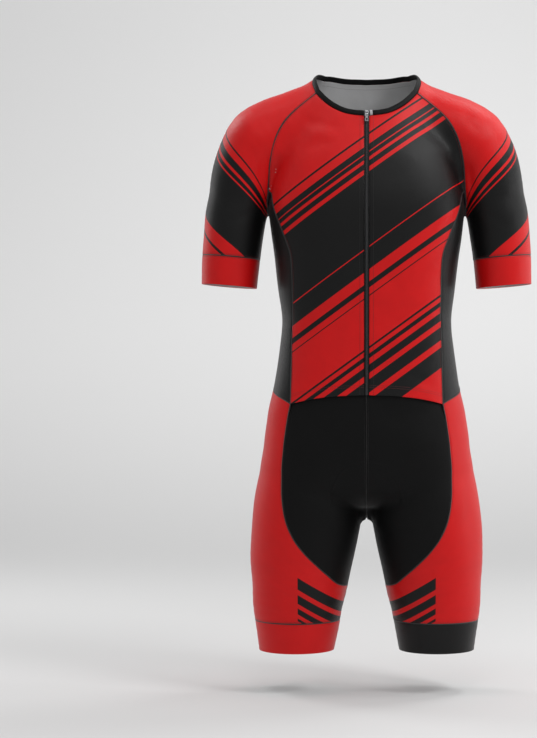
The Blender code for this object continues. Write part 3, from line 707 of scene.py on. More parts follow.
# Soft creases, in the folds' columns. A height below 0 is a trough.
CREASES = (
    (-118, -40, -40, -60, 8.5, -1.1, -1),
    (-105, -62, -30, -82, 10, 0.8, -1),
    (60, -40, 120, -62, 10, -1, -1),
    (75, -85, 150, -100, 12, 1, -1),
    (-176, -105, -182, -150, 5, -0.9, -1),
    (-168, -150, -150, -185, 5, -1, -1),
    (172, -110, 179, -160, 5, -0.9, -1),
    (160, -165, 120, -205, 7, -1, -1),
    (150, -190, 105, -240, 8, 0.9, -1),
    (-150, -195, -110, -240, 7, -0.8, -1),
    (20, -300, 65, -335, 13, -1, -1),
    (30, -375, 85, -400, 12, -0.9, -1),
    (70, -470, 125, -500, 8, -0.9, -1),
    (-130, -350, -80, -372, 11, -0.8, -1),
    (-145, -400, -100, -385, 8, 0.7, -1),
    (100, -372, 150, -392, 8, 0.8, -1),
    (160, -30, 200, -70, 10, -1.2, -1),
    (-165, -30, -195, -65, 10, -1, -1),
    (190, -190, 240, -225, 9, -0.8, -1),
    (-190, -195, -238, -215, 8, -0.8, -1),
    (20, -705, 100, -660, 8, -1.1, -1),
    (-20, -705, -95, -655, 8, -1.2, -1),
    (30, -735, 110, -720, 9, -0.8, -1),
    (-30, -735, -115, -725, 9, -0.8, -1),
    (90, -800, 150, -790, 11, -0.7, -1),
    (-85, -805, -150, -795, 11, -0.7, -1),
    (-120, -70, -20, -95, 11, -1, 1),
    (30, -75, 125, -60, 10, -1, 1),
    (-165, -130, -110, -190, 8, -1.3, 1),
    (165, -130, 105, -195, 8, -1.2, 1),
    (140, -185, 70, -245, 10, 1, 1),
    (-140, -190, -80, -240, 10, 0.9, 1),
    (-110, -365, 20, -385, 10, -1.3, 1),
    (-10, -395, 115, -380, 9, -1.2, 1),
    (-90, -415, 60, -420, 8, 0.9, 1),
    (20, -690, 110, -650, 9, -1.4, 1),
    (-20, -690, -105, -645, 9, -1.3, 1),
    (60, -800, 150, -815, 10, -1, 1),
    (-65, -810, -150, -805, 10, -1, 1),
    (190, -200, 250, -185, 8, -1, 1),
    (-190, -195, -250, -190, 8, -1, 1),
)
CREASE_SCALE = 1.1
CREASE_ROWS = in_metres(CREASES, 1)
CREASE_ROWS[:, 5] *= CREASE_SCALE

# Broad unevenness: wave numbers along x, y, z in radians a metre, phase, height
SWELLS = (
    (52.0, 0.0, 31.0, 0.4, 0.00022),
    (-34.0, 12.0, 58.0, 1.9, 0.00018),
    (21.0, -44.0, 77.0, 3.1, 0.00014),
    (88.0, 25.0, -49.0, 5.0, 0.00009),
)


def crease_height(p):
    """How far creases and swells lift the cloth at each point."""
    lift = pressed(p, p[:, [0, 2]], CREASE_ROWS)
    for *waves, phase, height in SWELLS:
        lift += height * np.sin(p @ np.array(waves) + phase)
    return lift


def fine_places(count, steps=FINE_STEPS, close=CLOSE_TO_EDGE):
    """Places along a grid's side, closer together at its ends."""
    even = np.linspace(0, count - 1, (count - 1) * steps + 1)
    near = np.array(close)
    return np.unique(np.round(np.concatenate([even, near, count - 1 - near]), 6))


class Panel:
    """A finely drawn cloth panel, with its distances from its own edges."""

    def __init__(self, name, coarse, free=(), closed=False, drop=None, flip=False):
        self.name, self.free, self.closed = name, free, closed
        if flip:
            coarse = mirrored(coarse)
        rows = fine_places(len(coarse))
        if closed:
            around = len(coarse[0])
            coarse = np.concatenate([coarse[:, -3:], coarse, coarse[:, :4]], axis=1)
            columns = 3 + np.linspace(0, around, around * FINE_STEPS + 1)
        else:
            columns = fine_places(coarse.shape[1])
        grid = drawn_along(coarse, rows)
        grid = drawn_along(grid.swapaxes(0, 1), columns).swapaxes(0, 1)
        shape = grid.shape
        grid = settle(grid.reshape(-1, 3), 6)
        self.normal = outward(grid).reshape(shape)
        self.down = steps_along(grid.reshape(shape))
        self.across = steps_along(grid.reshape(shape).swapaxes(0, 1)).swapaxes(0, 1)
        self.share = (columns - columns[0]) / (columns[-1] - columns[0])
        lift = crease_height(grid).reshape(shape[:2])
        for edge, distance in self.from_edges().items():
            if edge not in free:
                lift -= SEAM_DIP * np.exp(-((distance / SEAM_DIP_WIDTH) ** 2))
        if drop is not None:
            fine = drawn_along(drawn_along(drop[..., None], rows).swapaxes(0, 1), columns)
            lift -= fine.swapaxes(0, 1)[..., 0]
        self.grid = grid.reshape(shape) + self.normal * lift[..., None]

    def from_edges(self):
        """Each point's distance from the panel's four edges, or from a closed one's two."""
        found = {"top": self.down, "bottom": self.down[-1:] - self.down}
        if not self.closed:
            found["left"] = self.across
            found["right"] = self.across[:, -1:] - self.across
        return found

    def line(self, edge, distance):
        """Points and normals along a line at a distance inside an edge."""
        far = self.from_edges()[edge]
        grid, normal = self.grid, self.normal
        if edge in ("left", "right"):
            far, grid, normal = far.T, grid.swapaxes(0, 1), normal.swapaxes(0, 1)
        if edge in ("bottom", "right"):
            far, grid, normal = far[::-1], grid[::-1], normal[::-1]
        count = grid.shape[1]
        points = np.array([read_at(far[:, k], grid[:, k], distance) for k in range(count)])
        return points, unit(np.array([read_at(far[:, k], normal[:, k], distance) for k in range(count)]))


def strip_faces(rows, count, closed=False):
    """Quads between rows of count points. A closed strip is a tube with both ends capped."""
    pairs = [(i, (i + 1) % rows) for i in range(rows if closed else rows - 1)]
    faces = [
        (i * count + j, i * count + j + 1, k * count + j + 1, k * count + j)
        for i, k in pairs
        for j in range(count - 1)
    ]
    if closed:
        ends = range(0, rows * count, count)
        faces += [tuple(ends), tuple(end + count - 1 for end in ends)[::-1]]
    return faces


def mesh_piece(name, points, faces, places, materials, kinds=None, prints=None):
    """A smooth mesh object that rides on the suit, with its cloth coordinates in metres."""
    mesh = bpy.data.meshes.new(name)
    mesh.from_pydata(np.asarray(points).tolist(), [], faces)
    corners = np.empty(len(mesh.loops), np.int32)
    mesh.loops.foreach_get("vertex_index", corners)
    for title, values in (("Cloth", places), ("Print", prints)):
        if values is not None:
            layer = mesh.uv_layers.new(name=title)
            layer.data.foreach_set("uv", np.asarray(values, np.float32)[corners].ravel())
    mesh.polygons.foreach_set("material_index", kinds or [0] * len(faces))
    mesh.polygons.foreach_set("use_smooth", [True] * len(faces))
    for material in materials:
        mesh.materials.append(material)
    thing = linked(name, mesh)
    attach(thing, "suit")
    return thing


def shell(panel, outside, lining, depth=LINING_DEPTH):
    """A thin cloth piece: outer skin, lining, and rims that are rounded where the edge is free."""
    grid, normal = panel.grid, panel.normal
    rows, columns = grid.shape[:2]
    inner = grid - normal * depth
    width = columns - 1
    ids = np.arange(rows * columns).reshape(rows, columns)
    if panel.closed:
        ids[:, -1] = ids[:, 0]
    points = [grid.reshape(-1, 3), inner.reshape(-1, 3)]
    spots = np.stack([panel.across, panel.down], axis=-1)
    prints = np.stack([np.broadcast_to(panel.share, (rows, columns)), panel.down[-1:] - panel.down], axis=-1)
    places = [spots.reshape(-1, 2)] * 2
    printed = [prints.reshape(-1, 2)] * 2
    total = 2 * rows * columns
    turn = np.cross(grid[1, 1] - grid[1, 0], grid[2, 0] - grid[1, 0]) @ normal[1, 0] < 0
    faces, kinds = [], []

    def add(quads, kind, reverse):
        for quad in quads:
            faces.append(tuple(quad[::-1]) if reverse else tuple(quad))
            kinds.append(kind)

    outer_quads = [
        (ids[i, j], ids[i, j + 1], ids[i + 1, j + 1], ids[i + 1, j])
        for i in range(rows - 1)
        for j in range(width)
    ]
    add(outer_quads, 0, turn)
    shift = rows * columns
    add([[corner + shift for corner in quad] for quad in outer_quads], 1, not turn)
    edges = {
        "top": (ids[0], grid[0] - grid[1], True),
        "bottom": (ids[-1], grid[-1] - grid[-2], False),
    }
    if not panel.closed:
        edges["left"] = (ids[:, 0], grid[:, 0] - grid[:, 1], False)
        edges["right"] = (ids[:, -1], grid[:, -1] - grid[:, -2], True)
    for edge, (line, way, other) in edges.items():
        rims = [line]
        if edge in panel.free:
            upright = normal.reshape(-1, 3)[line]
            way = way - (way * upright).sum(1)[:, None] * upright
            way = unit(way)
            middle = grid.reshape(-1, 3)[line] - upright * depth / 2
            for angle in (0.785, 1.571, 2.356):
                bend = upright * math.cos(angle) + way * math.sin(angle)
                points.append(middle + bend * depth / 2)
                places.append(spots.reshape(-1, 2)[line])
                printed.append(prints.reshape(-1, 2)[line])
                rim = total + np.arange(len(line))
                if panel.closed:
                    rim[-1] = rim[0]
                rims.append(rim)
                total += len(line)
        rims.append(line + shift)
        for a, b in zip(rims[:-1], rims[1:]):
            quads = [(a[k], a[k + 1], b[k + 1], b[k]) for k in range(len(line) - 1)]
            add(quads, 0, turn != other)
    piece = mesh_piece(
        panel.name + "_cloth",
        np.concatenate(points),
        faces,
        np.concatenate(places),
        (outside, lining),
        kinds,
        np.concatenate(printed),
    )
    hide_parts(panel.name)
    return piece


# The knit's and the seam thread's fineness, in metres
KNIT_PITCH = 0.0009
KNIT_DEPTH = 0.00012
THREAD_PITCH = 0.0011
THREAD_DEPTH = 0.0003
# Scales of the cloth's mottle, its dents and its uneven gloss, and the dents' depth
MOTTLE_SCALE = 38.0
DENT_SCALE = 75.0
GLOSS_SCALE = 210.0
DENT_DEPTH = 0.0012
MARK_DEPTH = 0.0009

# Colours, in linear light
RED = (0.600, 0.0030, 0.0036)
BLACK = (0.0030, 0.0030, 0.0031)
LINING_GREY = (0.52, 0.52, 0.525)
THREAD_BLACK = (0.010, 0.009, 0.009)
THREAD_RED = (0.130, 0.008, 0.010)

# Black stripes on the jersey, from and to, in metres square to the stripes
CHEST_SLANT = math.radians(36)
CHEST_STRIPES = (
    (-0.4480, -0.4200), (-0.4100, -0.3920), (-0.3830, -0.3715), (-0.3640, -0.3570), (-0.3505, -0.3470),
    (-0.2800, -0.2770), (-0.2680, -0.2595), (-0.2435, -0.2140), (-0.2115, -0.1110), (-0.1045, -0.0960),
    (-0.0920, -0.0855), (-0.0835, -0.0730), (-0.0610, -0.0570), (-0.0480, -0.0465),
)
# Black stripes on a sleeve, by height above its cuff seam, falling by SLEEVE_FALL towards the body
SLEEVE_FALL = 0.115
SLEEVE_STRIPES = ((0.0480, 0.0530), (0.0780, 0.1850), (0.1885, 0.1965), (0.2020, 0.2140), (0.2260, 0.2290))
# Black stripes low on the shorts' sides, by height on the middle plane, rising outwards
LEG_RISE = 0.62
LEG_STRIPES = ((-0.9590, -0.9540), (-0.9470, -0.9370), (-0.9290, -0.9140), (-0.9050, -0.8850))
LEG_STRIPES_REACH = 0.116
# The seat pad's outline, an oval round a level on the middle plane
PAD_HALF_WIDTH = 0.060
PAD_LEVEL = -0.700
PAD_HEIGHT = 0.080
PAD_SQUARENESS = 2.4
PAD_SHOWS_ABOVE = -0.690


def cloth_material(
    name, colour, stripe_mask=None, roughness=(0.38, 0.48), sheen=0.04, marks=None, gloss=0.23
):
    """Printed stretch knit, black where the mask is 1, with painted shade in the hollows between its knit
    loops.
    """
    nodes = Nodes(name)
    loops, bump = nodes.knit(KNIT_PITCH, KNIT_DEPTH)
    place = nodes.cloth_place()
    mottle = nodes.noise(place, MOTTLE_SCALE, 3.0)
    base = colour
    if stripe_mask is not None:
        base = nodes.mixed(stripe_mask(nodes), colour, BLACK)
    shade = nodes.between(mottle, 0.90, 1.06)
    # Painted shade in the hollows between the knit loops, with a slight painted highlight on their tops
    painted_loop_shade = nodes.between(loops, 0.86, 1.06)
    bump = nodes.bumped(nodes.noise(place, DENT_SCALE, 4.0), DENT_DEPTH, 0.22, bump)
    if marks is not None:
        bump = nodes.bumped(marks(nodes), MARK_DEPTH, 0.8, bump)
    nodes.dress({
        "Base Color": nodes.shaded(base, nodes.maths("MULTIPLY", shade, painted_loop_shade)),
        "Roughness": nodes.between(nodes.noise(place, GLOSS_SCALE), *roughness),
        "Normal": bump,
        "Specular IOR Level": gloss,
        "Sheen Weight": sheen,
        "Sheen Roughness": 0.38,
        "Sheen Tint": (1.0, 0.93, 0.93, 1),
    })
    return nodes.material


def chest_mask(nodes):
    """The jersey's graded diagonal stripes."""
    x, _, z = nodes.at()
    level = nodes.maths("MULTIPLY", z, math.cos(CHEST_SLANT))
    place = nodes.maths("MULTIPLY_ADD", x, -math.sin(CHEST_SLANT), level)
    return nodes.stripes(place, CHEST_STRIPES)


def sleeve_mask(nodes):
    """The sleeve's stripes, highest along the arm's outside."""
    around, height, _ = nodes.parts(nodes.new("UVMap", uv_map="Print").outputs["UV"])
    inward = nodes.maths("ABSOLUTE", nodes.maths("MULTIPLY_ADD", around, 2.0, -1.0))
    place = nodes.maths("MULTIPLY_ADD", inward, SLEEVE_FALL, height)
    return nodes.stripes(place, SLEEVE_STRIPES)


def leg_mask(nodes):
    """The stripes low on the shorts' sides, cut off upright on their outside."""
    x, _, z = nodes.at()
    reach = nodes.maths("ABSOLUTE", x)
    place = nodes.maths("MULTIPLY_ADD", reach, -LEG_RISE, z)
    inside = nodes.maths("LESS_THAN", reach, LEG_STRIPES_REACH)
    return nodes.maths("MULTIPLY", nodes.stripes(place, LEG_STRIPES), inside)


def pad_marks(nodes):
    """The faint raised outline of the seat pad behind the shorts' fronts."""
    x, _, z = nodes.at()
    wide = nodes.maths("DIVIDE", nodes.maths("ABSOLUTE", x), PAD_HALF_WIDTH)
    tall = nodes.maths("DIVIDE", nodes.maths("ABSOLUTE", nodes.maths("SUBTRACT", z, PAD_LEVEL)), PAD_HEIGHT)
    wide, tall = (nodes.maths("POWER", share, PAD_SQUARENESS) for share in (wide, tall))
    off = nodes.maths("ABSOLUTE", nodes.maths("SUBTRACT", nodes.maths("ADD", wide, tall), 1.0))
    ridge = nodes.maths("SUBTRACT", 1.0, nodes.maths("MULTIPLY", off, 9.0))
    upper = nodes.maths("GREATER_THAN", z, PAD_SHOWS_ABOVE)
    return nodes.maths("MULTIPLY", nodes.maths("MAXIMUM", ridge, 0.0), upper)


def plain_material(name, colour, roughness, metallic=0.0, grain=400.0, depth=0.00005):
    """Metal or thread with a fine grain."""
    nodes = Nodes(name)
    place = nodes.new("TexCoord").outputs["Object"]
    speck = nodes.noise(place, grain, 3.0)
    shade = nodes.between(speck, 0.88, 1.08)
    nodes.dress({
        "Base Color": nodes.shaded(colour, shade),
        "Roughness": nodes.between(speck, roughness - 0.06, roughness + 0.06),
        "Normal": nodes.bumped(speck, depth, 0.4),
        "Metallic": metallic,
    })
    return nodes.material


def seam_material(name, colour):
    """A flat seam covered by close slanting thread, with painted shade in the grooves between its turns."""
    nodes = Nodes(name)
    x, y, _ = nodes.parts(nodes.cloth_place())
    slant = nodes.maths("MULTIPLY_ADD", nodes.maths("ABSOLUTE", x), 0.9, y)
    wave = nodes.maths("SINE", nodes.maths("MULTIPLY", slant, 2 * math.pi / THREAD_PITCH))
    height = nodes.maths("MULTIPLY_ADD", wave, 0.5, 0.5)
    # Painted shade: the thread's colour is darker in the grooves between its turns, and a little lighter on
    # their tops
    nodes.dress({
        "Base Color": nodes.shaded(colour, nodes.between(height, 0.55, 1.15)),
        "Roughness": nodes.between(height, 0.60, 0.48),
        "Normal": nodes.bumped(height, THREAD_DEPTH, 0.7),
        "Sheen Weight": 0.15,
    })
    return nodes.material


red_striped = cloth_material("red_striped_knit", RED, chest_mask)
red_sleeve = cloth_material("red_sleeve_knit", RED, sleeve_mask)
red_leg = cloth_material("red_leg_knit", RED, leg_mask)
red_plain = cloth_material("red_knit", RED)
black_knit = cloth_material("black_knit", BLACK, roughness=(0.36, 0.46), sheen=0.05)
black_shorts = cloth_material(
    "black_shorts_knit", BLACK, roughness=(0.48, 0.58), sheen=0.02, marks=pad_marks, gloss=0.12
)
lining = cloth_material("grey_lining", LINING_GREY, roughness=(0.75, 0.85), sheen=0.1)
dark_lining = cloth_material("black_lining", (0.03, 0.03, 0.032), roughness=(0.75, 0.85), sheen=0.1)
seam_black = seam_material("black_seam_thread", THREAD_BLACK)
thread_red = plain_material("dark_red_thread", THREAD_RED, 0.55)
thread_black = plain_material("black_thread", THREAD_BLACK, 0.55)
thread_grey = plain_material("grey_thread", (0.12, 0.12, 0.12), 0.6)


def joined(*lines):
    """One seam out of several that follow each other."""
    return np.concatenate([lines[0]] + [line[1:] for line in lines[1:]])


def through_middle(a, middle, b, count):
    """A seam from a to b over a middle point, evenly spaced."""
    return settle(curve_through([a, settle([middle])[0], b], count))


def upright_frames(places):
    """Upright centre lines, at these x, for rows that go round the trunk or a leg."""
    return [(np.array([x, 0.0, 0.0]), (0, 0, 1), (1, 0, 0)) for x in places]


def middle_line(top, bottom, facing):
    """The jersey's middle, front or back, with rows that match its raglan and side seams."""
    upper = seam(((0, top), (0, Z_RAGLAN_END)), ROWS_RAGLAN, facing)
    return joined(upper, seam(((0, Z_RAGLAN_END), (0, bottom)), ROWS_SIDE, facing))


# Seams
raglan_front = seam(RAGLAN_FRONT, ROWS_RAGLAN)
raglan_back = seam(RAGLAN_BACK, ROWS_RAGLAN, 1)
underarm = seam(UNDERARM, ROWS_UNDERARM)
half_limb = COLS_LIMB // 2
armhole_front = through_middle(raglan_front[-1], (0.1697, -0.0220, -0.1810), underarm[0], half_limb)
armhole_back = through_middle(raglan_back[-1], (0.1685, 0.0290, -0.1810), underarm[0], half_limb)
side_front = seam(SIDE_FRONT, ROWS_SIDE)
side_back = seam(SIDE_BACK, ROWS_SIDE, 1)
side_front[0], side_back[0] = raglan_front[-1], raglan_back[-1]
hip_side = through_middle(side_front[-1], HIP_SIDE_MIDDLE, side_back[-1], COLS_LIMB)
neck_front = seam(NECK_FRONT, COLS_BODY)
neck_back = seam(NECK_BACK, COLS_BODY, 1)
neck_front[-1], neck_back[-1] = raglan_front[0], raglan_back[0]
neck_side = settle(curve_through([raglan_front[0], *settle(NECK_SIDE), raglan_back[0]], COLS_LIMB))
hem_front = seam(HEM_FRONT, COLS_BODY)
hem_front[-1] = side_front[-1]
hip_back = seam(HIP_BACK, COLS_BODY, 1)
hip_back[-1] = side_back[-1]
thigh_front = seam(THIGH_FRONT, ROWS_THIGH + COLS_BODY)
thigh_back = seam(THIGH_BACK, ROWS_THIGH + COLS_BODY, 1)
thigh_front[0], thigh_back[0] = side_front[-1], side_back[-1]
thigh_back[-1] = thigh_front[-1]
inseam_upper = seam(INSEAM_UPPER, ROWS_THIGH - ROWS_CENTRE)
inseam_lower = seam(INSEAM_LOWER, ROWS_INSEAM)
inseam_upper[-1] = inseam_lower[0] = thigh_front[-1]
centre_front = seam(CENTRE_FRONT, ROWS_CENTRE)
centre_back = seam(CENTRE_BACK, ROWS_CENTRE, 1)
for line in (centre_front, centre_back):
    line[:, 0] = 0
inseam_upper[0, 0] = 0
centre_front[-1] = centre_back[-1] = inseam_upper[0]

# Jersey front, two halves beside the zip
zip_edge = ZIP_WIDTH / 2 + 0.00015
chest_line = middle_line(Z_NECK_FRONT, Z_HEM, -1)
chest_line[:, 0] = zip_edge
chest_line = settle(chest_line)
neck_front[0], hem_front[0] = chest_line[0], chest_line[-1]
neck_front[1:-1] = settle(curve_through(neck_front, COLS_BODY))[1:-1]
front_seam = joined(raglan_front, side_front)
front_frames = upright_frames([0.0] * len(chest_line))
front = fill(chest_line, front_seam, front_frames, COLS_BODY, neck_front, hem_front)
# The free hem stands off the shorts, a little less at the zip, and from the row above it
HEM_LIFTS = (0.0012, 0.0010, 0.0004)
lift = np.zeros(front.shape[:2])
lift[-1, 1:-1] = -HEM_LIFTS[0]
lift[-1, 0] = -HEM_LIFTS[1]
lift[-2, :-1] = -HEM_LIFTS[2]

# Jersey back, one piece
spine_line = middle_line(Z_NECK_BACK, Z_HIP_BACK, 1)
back_frames = upright_frames([0.0] * len(spine_line))
back_seam = joined(raglan_back, side_back)
back_half = fill(back_seam, spine_line, back_frames, COLS_BODY, neck_back[::-1], hip_back[::-1])
back = np.concatenate([back_half, mirrored(back_half)[:, -2::-1]], axis=1)

# Jersey side panels
armhole = joined(armhole_front, armhole_back[::-1])
sags = -SIDE_SAG * np.linspace(1, 0, ROWS_SIDE + 1) ** 2
side_frames = [(*frame, sag) for frame, sag in zip(upright_frames([0.0] * len(sags)), sags)]
side = fill(side_front, side_back, side_frames, COLS_LIMB, armhole, hip_side)

# Sleeves
sleeve_front = joined(raglan_front, armhole_front, underarm)
sleeve_back = joined(raglan_back, armhole_back, underarm)
arm_line = curve_through(ARM_ROWS[1:13, :3], 60)
arm_way = np.gradient(arm_line, axis=0)
for _ in range(ARM_SMOOTHING):
    arm_way[1:-1] = (arm_way[:-2] + arm_way[2:]) / 2
arm_way[:, 1] = 0
arm_way = unit(arm_way)


def arm_frame(share):
    """Centre, direction and outside of the arm at a share of its length."""
    place = share * (len(arm_line) - 1)
    low = min(int(place), len(arm_line) - 2)
    part = place - low
    centre = arm_line[low] * (1 - part) + arm_line[low + 1] * part
    along = arm_way[low] * (1 - part) + arm_way[low + 1] * part
    along = along / np.linalg.norm(along)
    return centre, along, np.array([-along[2], 0.0, along[0]])


ROWS_ARMHOLE = ROWS_RAGLAN + half_limb
# Shares of the arm's length at the collar, the armpit and the cuff's seam
SHARE_COLLAR = 0.08
SHARE_ARMPIT = 0.735
SHARE_CUFF = 0.985
shares = np.concatenate(
    [
        np.linspace(SHARE_COLLAR, SHARE_ARMPIT, ROWS_ARMHOLE + 1),
        np.linspace(SHARE_ARMPIT, SHARE_CUFF, ROWS_UNDERARM + 1)[1:],
    ]
)
arm_frames = [arm_frame(share) for share in shares]
sleeve = fill(sleeve_front, sleeve_back, arm_frames, COLS_LIMB, neck_side)


def ring(loop, centre, along, reach, rows):
    """A closed band of rows that carries on from a loop of points."""
    centre, along = np.array(centre), np.array(along)
    lines = [loop[:-1]]
    for i in range(1, rows + 1):
        step = reach * i / rows
        rel = loop[:-1] - centre
        shift = (rel @ along)[:, None] * along
        lines.append(shoot(centre + shift + step * along, unit(rel - shift)))
    return np.array(lines)


cuff = ring(sleeve[-1], *arm_frame(1.0)[:2], CUFF_DEPTH, ROWS_BAND)

# Levels down the leg, and x of the line that the shorts' rows go round there
THIGH_CENTRES = ((-0.75, -0.65, -0.5), (0.100, 0.085, 0.06))
LEG_CENTRES = ((-0.90, -0.82, -0.75, -0.65, -0.52), (0.118, 0.113, 0.106, 0.095, 0.06))


def leg_frames(edge, centres):
    """Upright centre lines inside the leg for rows that start on an edge."""
    return upright_frames(np.interp(edge[:, 2], *centres))


# Shorts: fronts with a top tucked under the jersey, backs, sides that wrap the lower leg, bands
tucked_line = seam(((0, Z_TUCKED_TOP), (0, Z_HEM)), ROWS_TUCKED)
tucked_line[:, 0] = 0
tucked_seam = settle(curve_through(side_front[-3:], ROWS_TUCKED))
inner_edge = joined(tucked_line, centre_front, inseam_upper)
outer_edge = joined(tucked_seam, thigh_front[: ROWS_THIGH + 1])
thigh_bottom = thigh_front[ROWS_THIGH:][::-1]
frames = leg_frames(inner_edge, THIGH_CENTRES)
shorts_front = fill(inner_edge, outer_edge, frames, COLS_BODY, bottom=thigh_bottom)
# The tucked top lies this far below the form, and the row after it a little
TUCK_DROPS = (0.0031, 0.0008)
drop = np.zeros(shorts_front.shape[:2])
drop[: ROWS_TUCKED + 1] = TUCK_DROPS[0]
drop[ROWS_TUCKED + 1] = TUCK_DROPS[1]
drop[ROWS_TUCKED + 1, -1] = 0

outer_edge = thigh_back[: ROWS_THIGH + 1]
inner_edge = joined(centre_back, inseam_upper)
frames = leg_frames(inner_edge, THIGH_CENTRES)
shorts_back = fill(outer_edge, inner_edge, frames, COLS_BODY, hip_back[::-1], thigh_back[ROWS_THIGH:])

leg_front = joined(thigh_front, inseam_lower)
leg_back = joined(thigh_back, inseam_lower)
frames = leg_frames(leg_front, LEG_CENTRES)
leg_side = fill(leg_front, leg_back, frames, COLS_LIMB, hip_side)
band = ring(leg_side[-1], (0.1185, 0.0, Z_BAND), (0, 0, -1), Z_BAND - Z_LEG_HEM, ROWS_BAND)

# Dressing the panels


def both_sides(name, coarse, outside, inside, slot, **more):
    """The left panel and its mirror as cloth pieces."""
    found = []
    for side, flip in (("left", False), ("right", True)):
        panel = Panel(f"{name}_{side}", coarse, flip=flip, **more)
        depth = BAND_DEPTH if more.get("closed") else LINING_DEPTH
        shell(panel, outside, inside, depth)
        found.append(panel)
    return found


fronts = both_sides("front", front, red_striped, lining, "red_cloth", free=("bottom",), drop=lift)
back_panel = Panel("back", back)
shell(back_panel, red_striped, lining)
sides = both_sides("side", side, black_knit, lining, "black_cloth")
sleeves = both_sides("sleeve", sleeve, red_sleeve, lining, "red_cloth")
cuffs = both_sides("cuff", cuff, red_plain, lining, "red_cloth", free=("bottom",), closed=True)
shorts_fronts = both_sides(
    "shorts_front", shorts_front, black_shorts, dark_lining, "black_cloth", free=("top",), drop=drop
)
shorts_backs = both_sides("shorts_back", shorts_back, black_shorts, dark_lining, "black_cloth")
shorts_sides = both_sides("shorts_side", leg_side, red_leg, lining, "red_cloth")
bands = []
for name, flip, skin, slot in (
    ("leg_band_left", False, black_knit, "black_cloth"),
    ("leg_band_right", True, red_plain, "red_cloth"),
):
    panel = Panel(name, band, free=("bottom",), closed=True, flip=flip)
    inside = dark_lining if skin is black_knit else lining
    shell(panel, skin, inside, BAND_DEPTH)
    bands.append(panel)


# Seams and stitches
def grain():
    """One stitch, 1 long and 1 thick, along x with z up."""
    points = [(-0.5, 0, -0.1)]
    for x in (-0.34, 0.34):
        for k in range(6):
            angle = k * math.pi / 3
            points.append((x, 0.5 * math.cos(angle), 0.5 * math.sin(angle)))
    points.append((0.5, 0, -0.1))
    faces = []
    for k in range(6):
        m = (k + 1) % 6
        faces += [(0, 1 + m, 1 + k), (1 + k, 1 + m, 7 + m, 7 + k), (7 + k, 7 + m, 13)]
    return np.array(points), faces


GRAIN_POINTS, GRAIN_FACES = grain()
# How far to each side a stitch or a coil turn looks along its line for its way
STITCH_LOOK = 0.001
COIL_LOOK = 0.002
# How far a seam's edges and the collar's foot are sunk into the cloth
SUNK = 0.0007


def stitch_row(line, normal, pitch=0.0030, length=0.0023, thick=0.0005):
    """Stitches end to end along a line on the cloth: a list of point blocks."""
    run = steps_along(line)
    count = max(2, int(run[-1] / pitch))
    size = GRAIN_POINTS * [length, thick, thick * 0.8]
    blocks = []
    for middle in (np.arange(count) + 0.5) * run[-1] / count:
        ends = read_at(run, line, [middle - STITCH_LOOK, middle + STITCH_LOOK])
        along = unit(ends[1] - ends[0], 1e-12)
        up = read_at(run, normal, middle)
        up = unit(up - (up @ along) * along)
        blocks.append(ends.mean(0) + up * thick * 0.25 + size @ np.array([along, np.cross(up, along), up]))
    return blocks


def sewn(name, blocks, material):
    """All the stitches of one thread as a piece."""
    size = len(GRAIN_POINTS)
    points = np.concatenate(blocks)
    faces = [tuple(corner + size * k for corner in face) for k in range(len(blocks)) for face in GRAIN_FACES]
    return mesh_piece(name, points, faces, points[:, :2], (material,))


def flat_seam(line, width, height):
    """Points and places of a low rounded strip along a seam."""
    upright = outward(line)
    across = unit(np.cross(np.gradient(line, axis=0), upright))
    length = steps_along(line)
    points, places = [], []
    shoulder = height * 0.55
    for share, rise in ((-1, -SUNK), (-0.75, shoulder), (0, height), (0.75, shoulder), (1, -SUNK)):
        points.append(line + across * share * width / 2 + upright * rise)
        places.append(np.stack([np.full(len(line), share * width / 2), length], axis=1))
    return np.concatenate(points), np.concatenate(places)


def seam_piece(name, lines, width, height):
    """One piece out of the strips along several seams and their mirror images."""
    points, places, faces, total = [], [], [], 0
    for line in lines:
        for flip in (1, -1):
            strip, spots = flat_seam(line * [flip, 1, 1], width, height)
            points.append(strip)
            places.append(spots)
            quads = strip_faces(5, len(line))
            faces += [tuple(corner + total for corner in quad[::flip]) for quad in quads]
            total += len(strip)
    mesh_piece(name, np.concatenate(points), faces, np.concatenate(places), (seam_black,))


def fine_line(line, steps=8):
    """A coarse seam drawn finely on the form."""
    return settle(drawn_along(line, np.linspace(0, len(line) - 1, (len(line) - 1) * steps + 1)))


SEAMS = (
    # name, lines, width, height
    ("raglan_seams", (raglan_front, raglan_back), 0.0026, 0.00030),
    ("body_seams", (side_front, side_back, armhole_front, armhole_back, underarm), 0.0020, 0.00025),
    (
        "shorts_seams",
        (thigh_front, thigh_back, hip_side, hip_back, inseam_upper, inseam_lower),
        0.0020,
        0.00025,
    ),
    ("centre_seams", (centre_front, centre_back), 0.0016, 0.00025),
)
for title, lines, wide, high in SEAMS:
    seam_piece(title, [fine_line(line) for line in lines], wide, high)
seam_piece("end_seams", [settle(panel.grid[0]) for panel in (cuffs[0], bands[0])], 0.0022, 0.00025)

EDGE_STITCH = 0.0030
ZIP_STITCH = 0.0072
HEM_STITCHES = (0.0125, 0.0160)
NECK_STITCH = 0.0085
BOTH = ("left", "right")
STITCHING = (
    # thread, panels, edges, distances inside the edge
    ("red", fronts, ("bottom",), HEM_STITCHES),
    ("red", fronts, ("right",), (EDGE_STITCH,)),
    ("red", cuffs, ("top",), (EDGE_STITCH,)),
    ("red", sleeves + shorts_sides, (*BOTH, "bottom"), (EDGE_STITCH,)),
    ("red", [back_panel], BOTH, (EDGE_STITCH,)),
    ("black", fronts, ("left",), (ZIP_STITCH,)),
    ("black", shorts_fronts + shorts_backs + sides, BOTH, (EDGE_STITCH,)),
)
stitches = {"red": [], "black": []}
for thread, panels, edges, distances in STITCHING:
    for panel in panels:
        for edge in edges:
            for distance in distances:
                stitches[thread] += stitch_row(*panel.line(edge, distance))
sewn("red_stitches", stitches["red"], thread_red)
sewn("black_stitches", stitches["black"], thread_black)
points, upright = back_panel.line("top", NECK_STITCH)
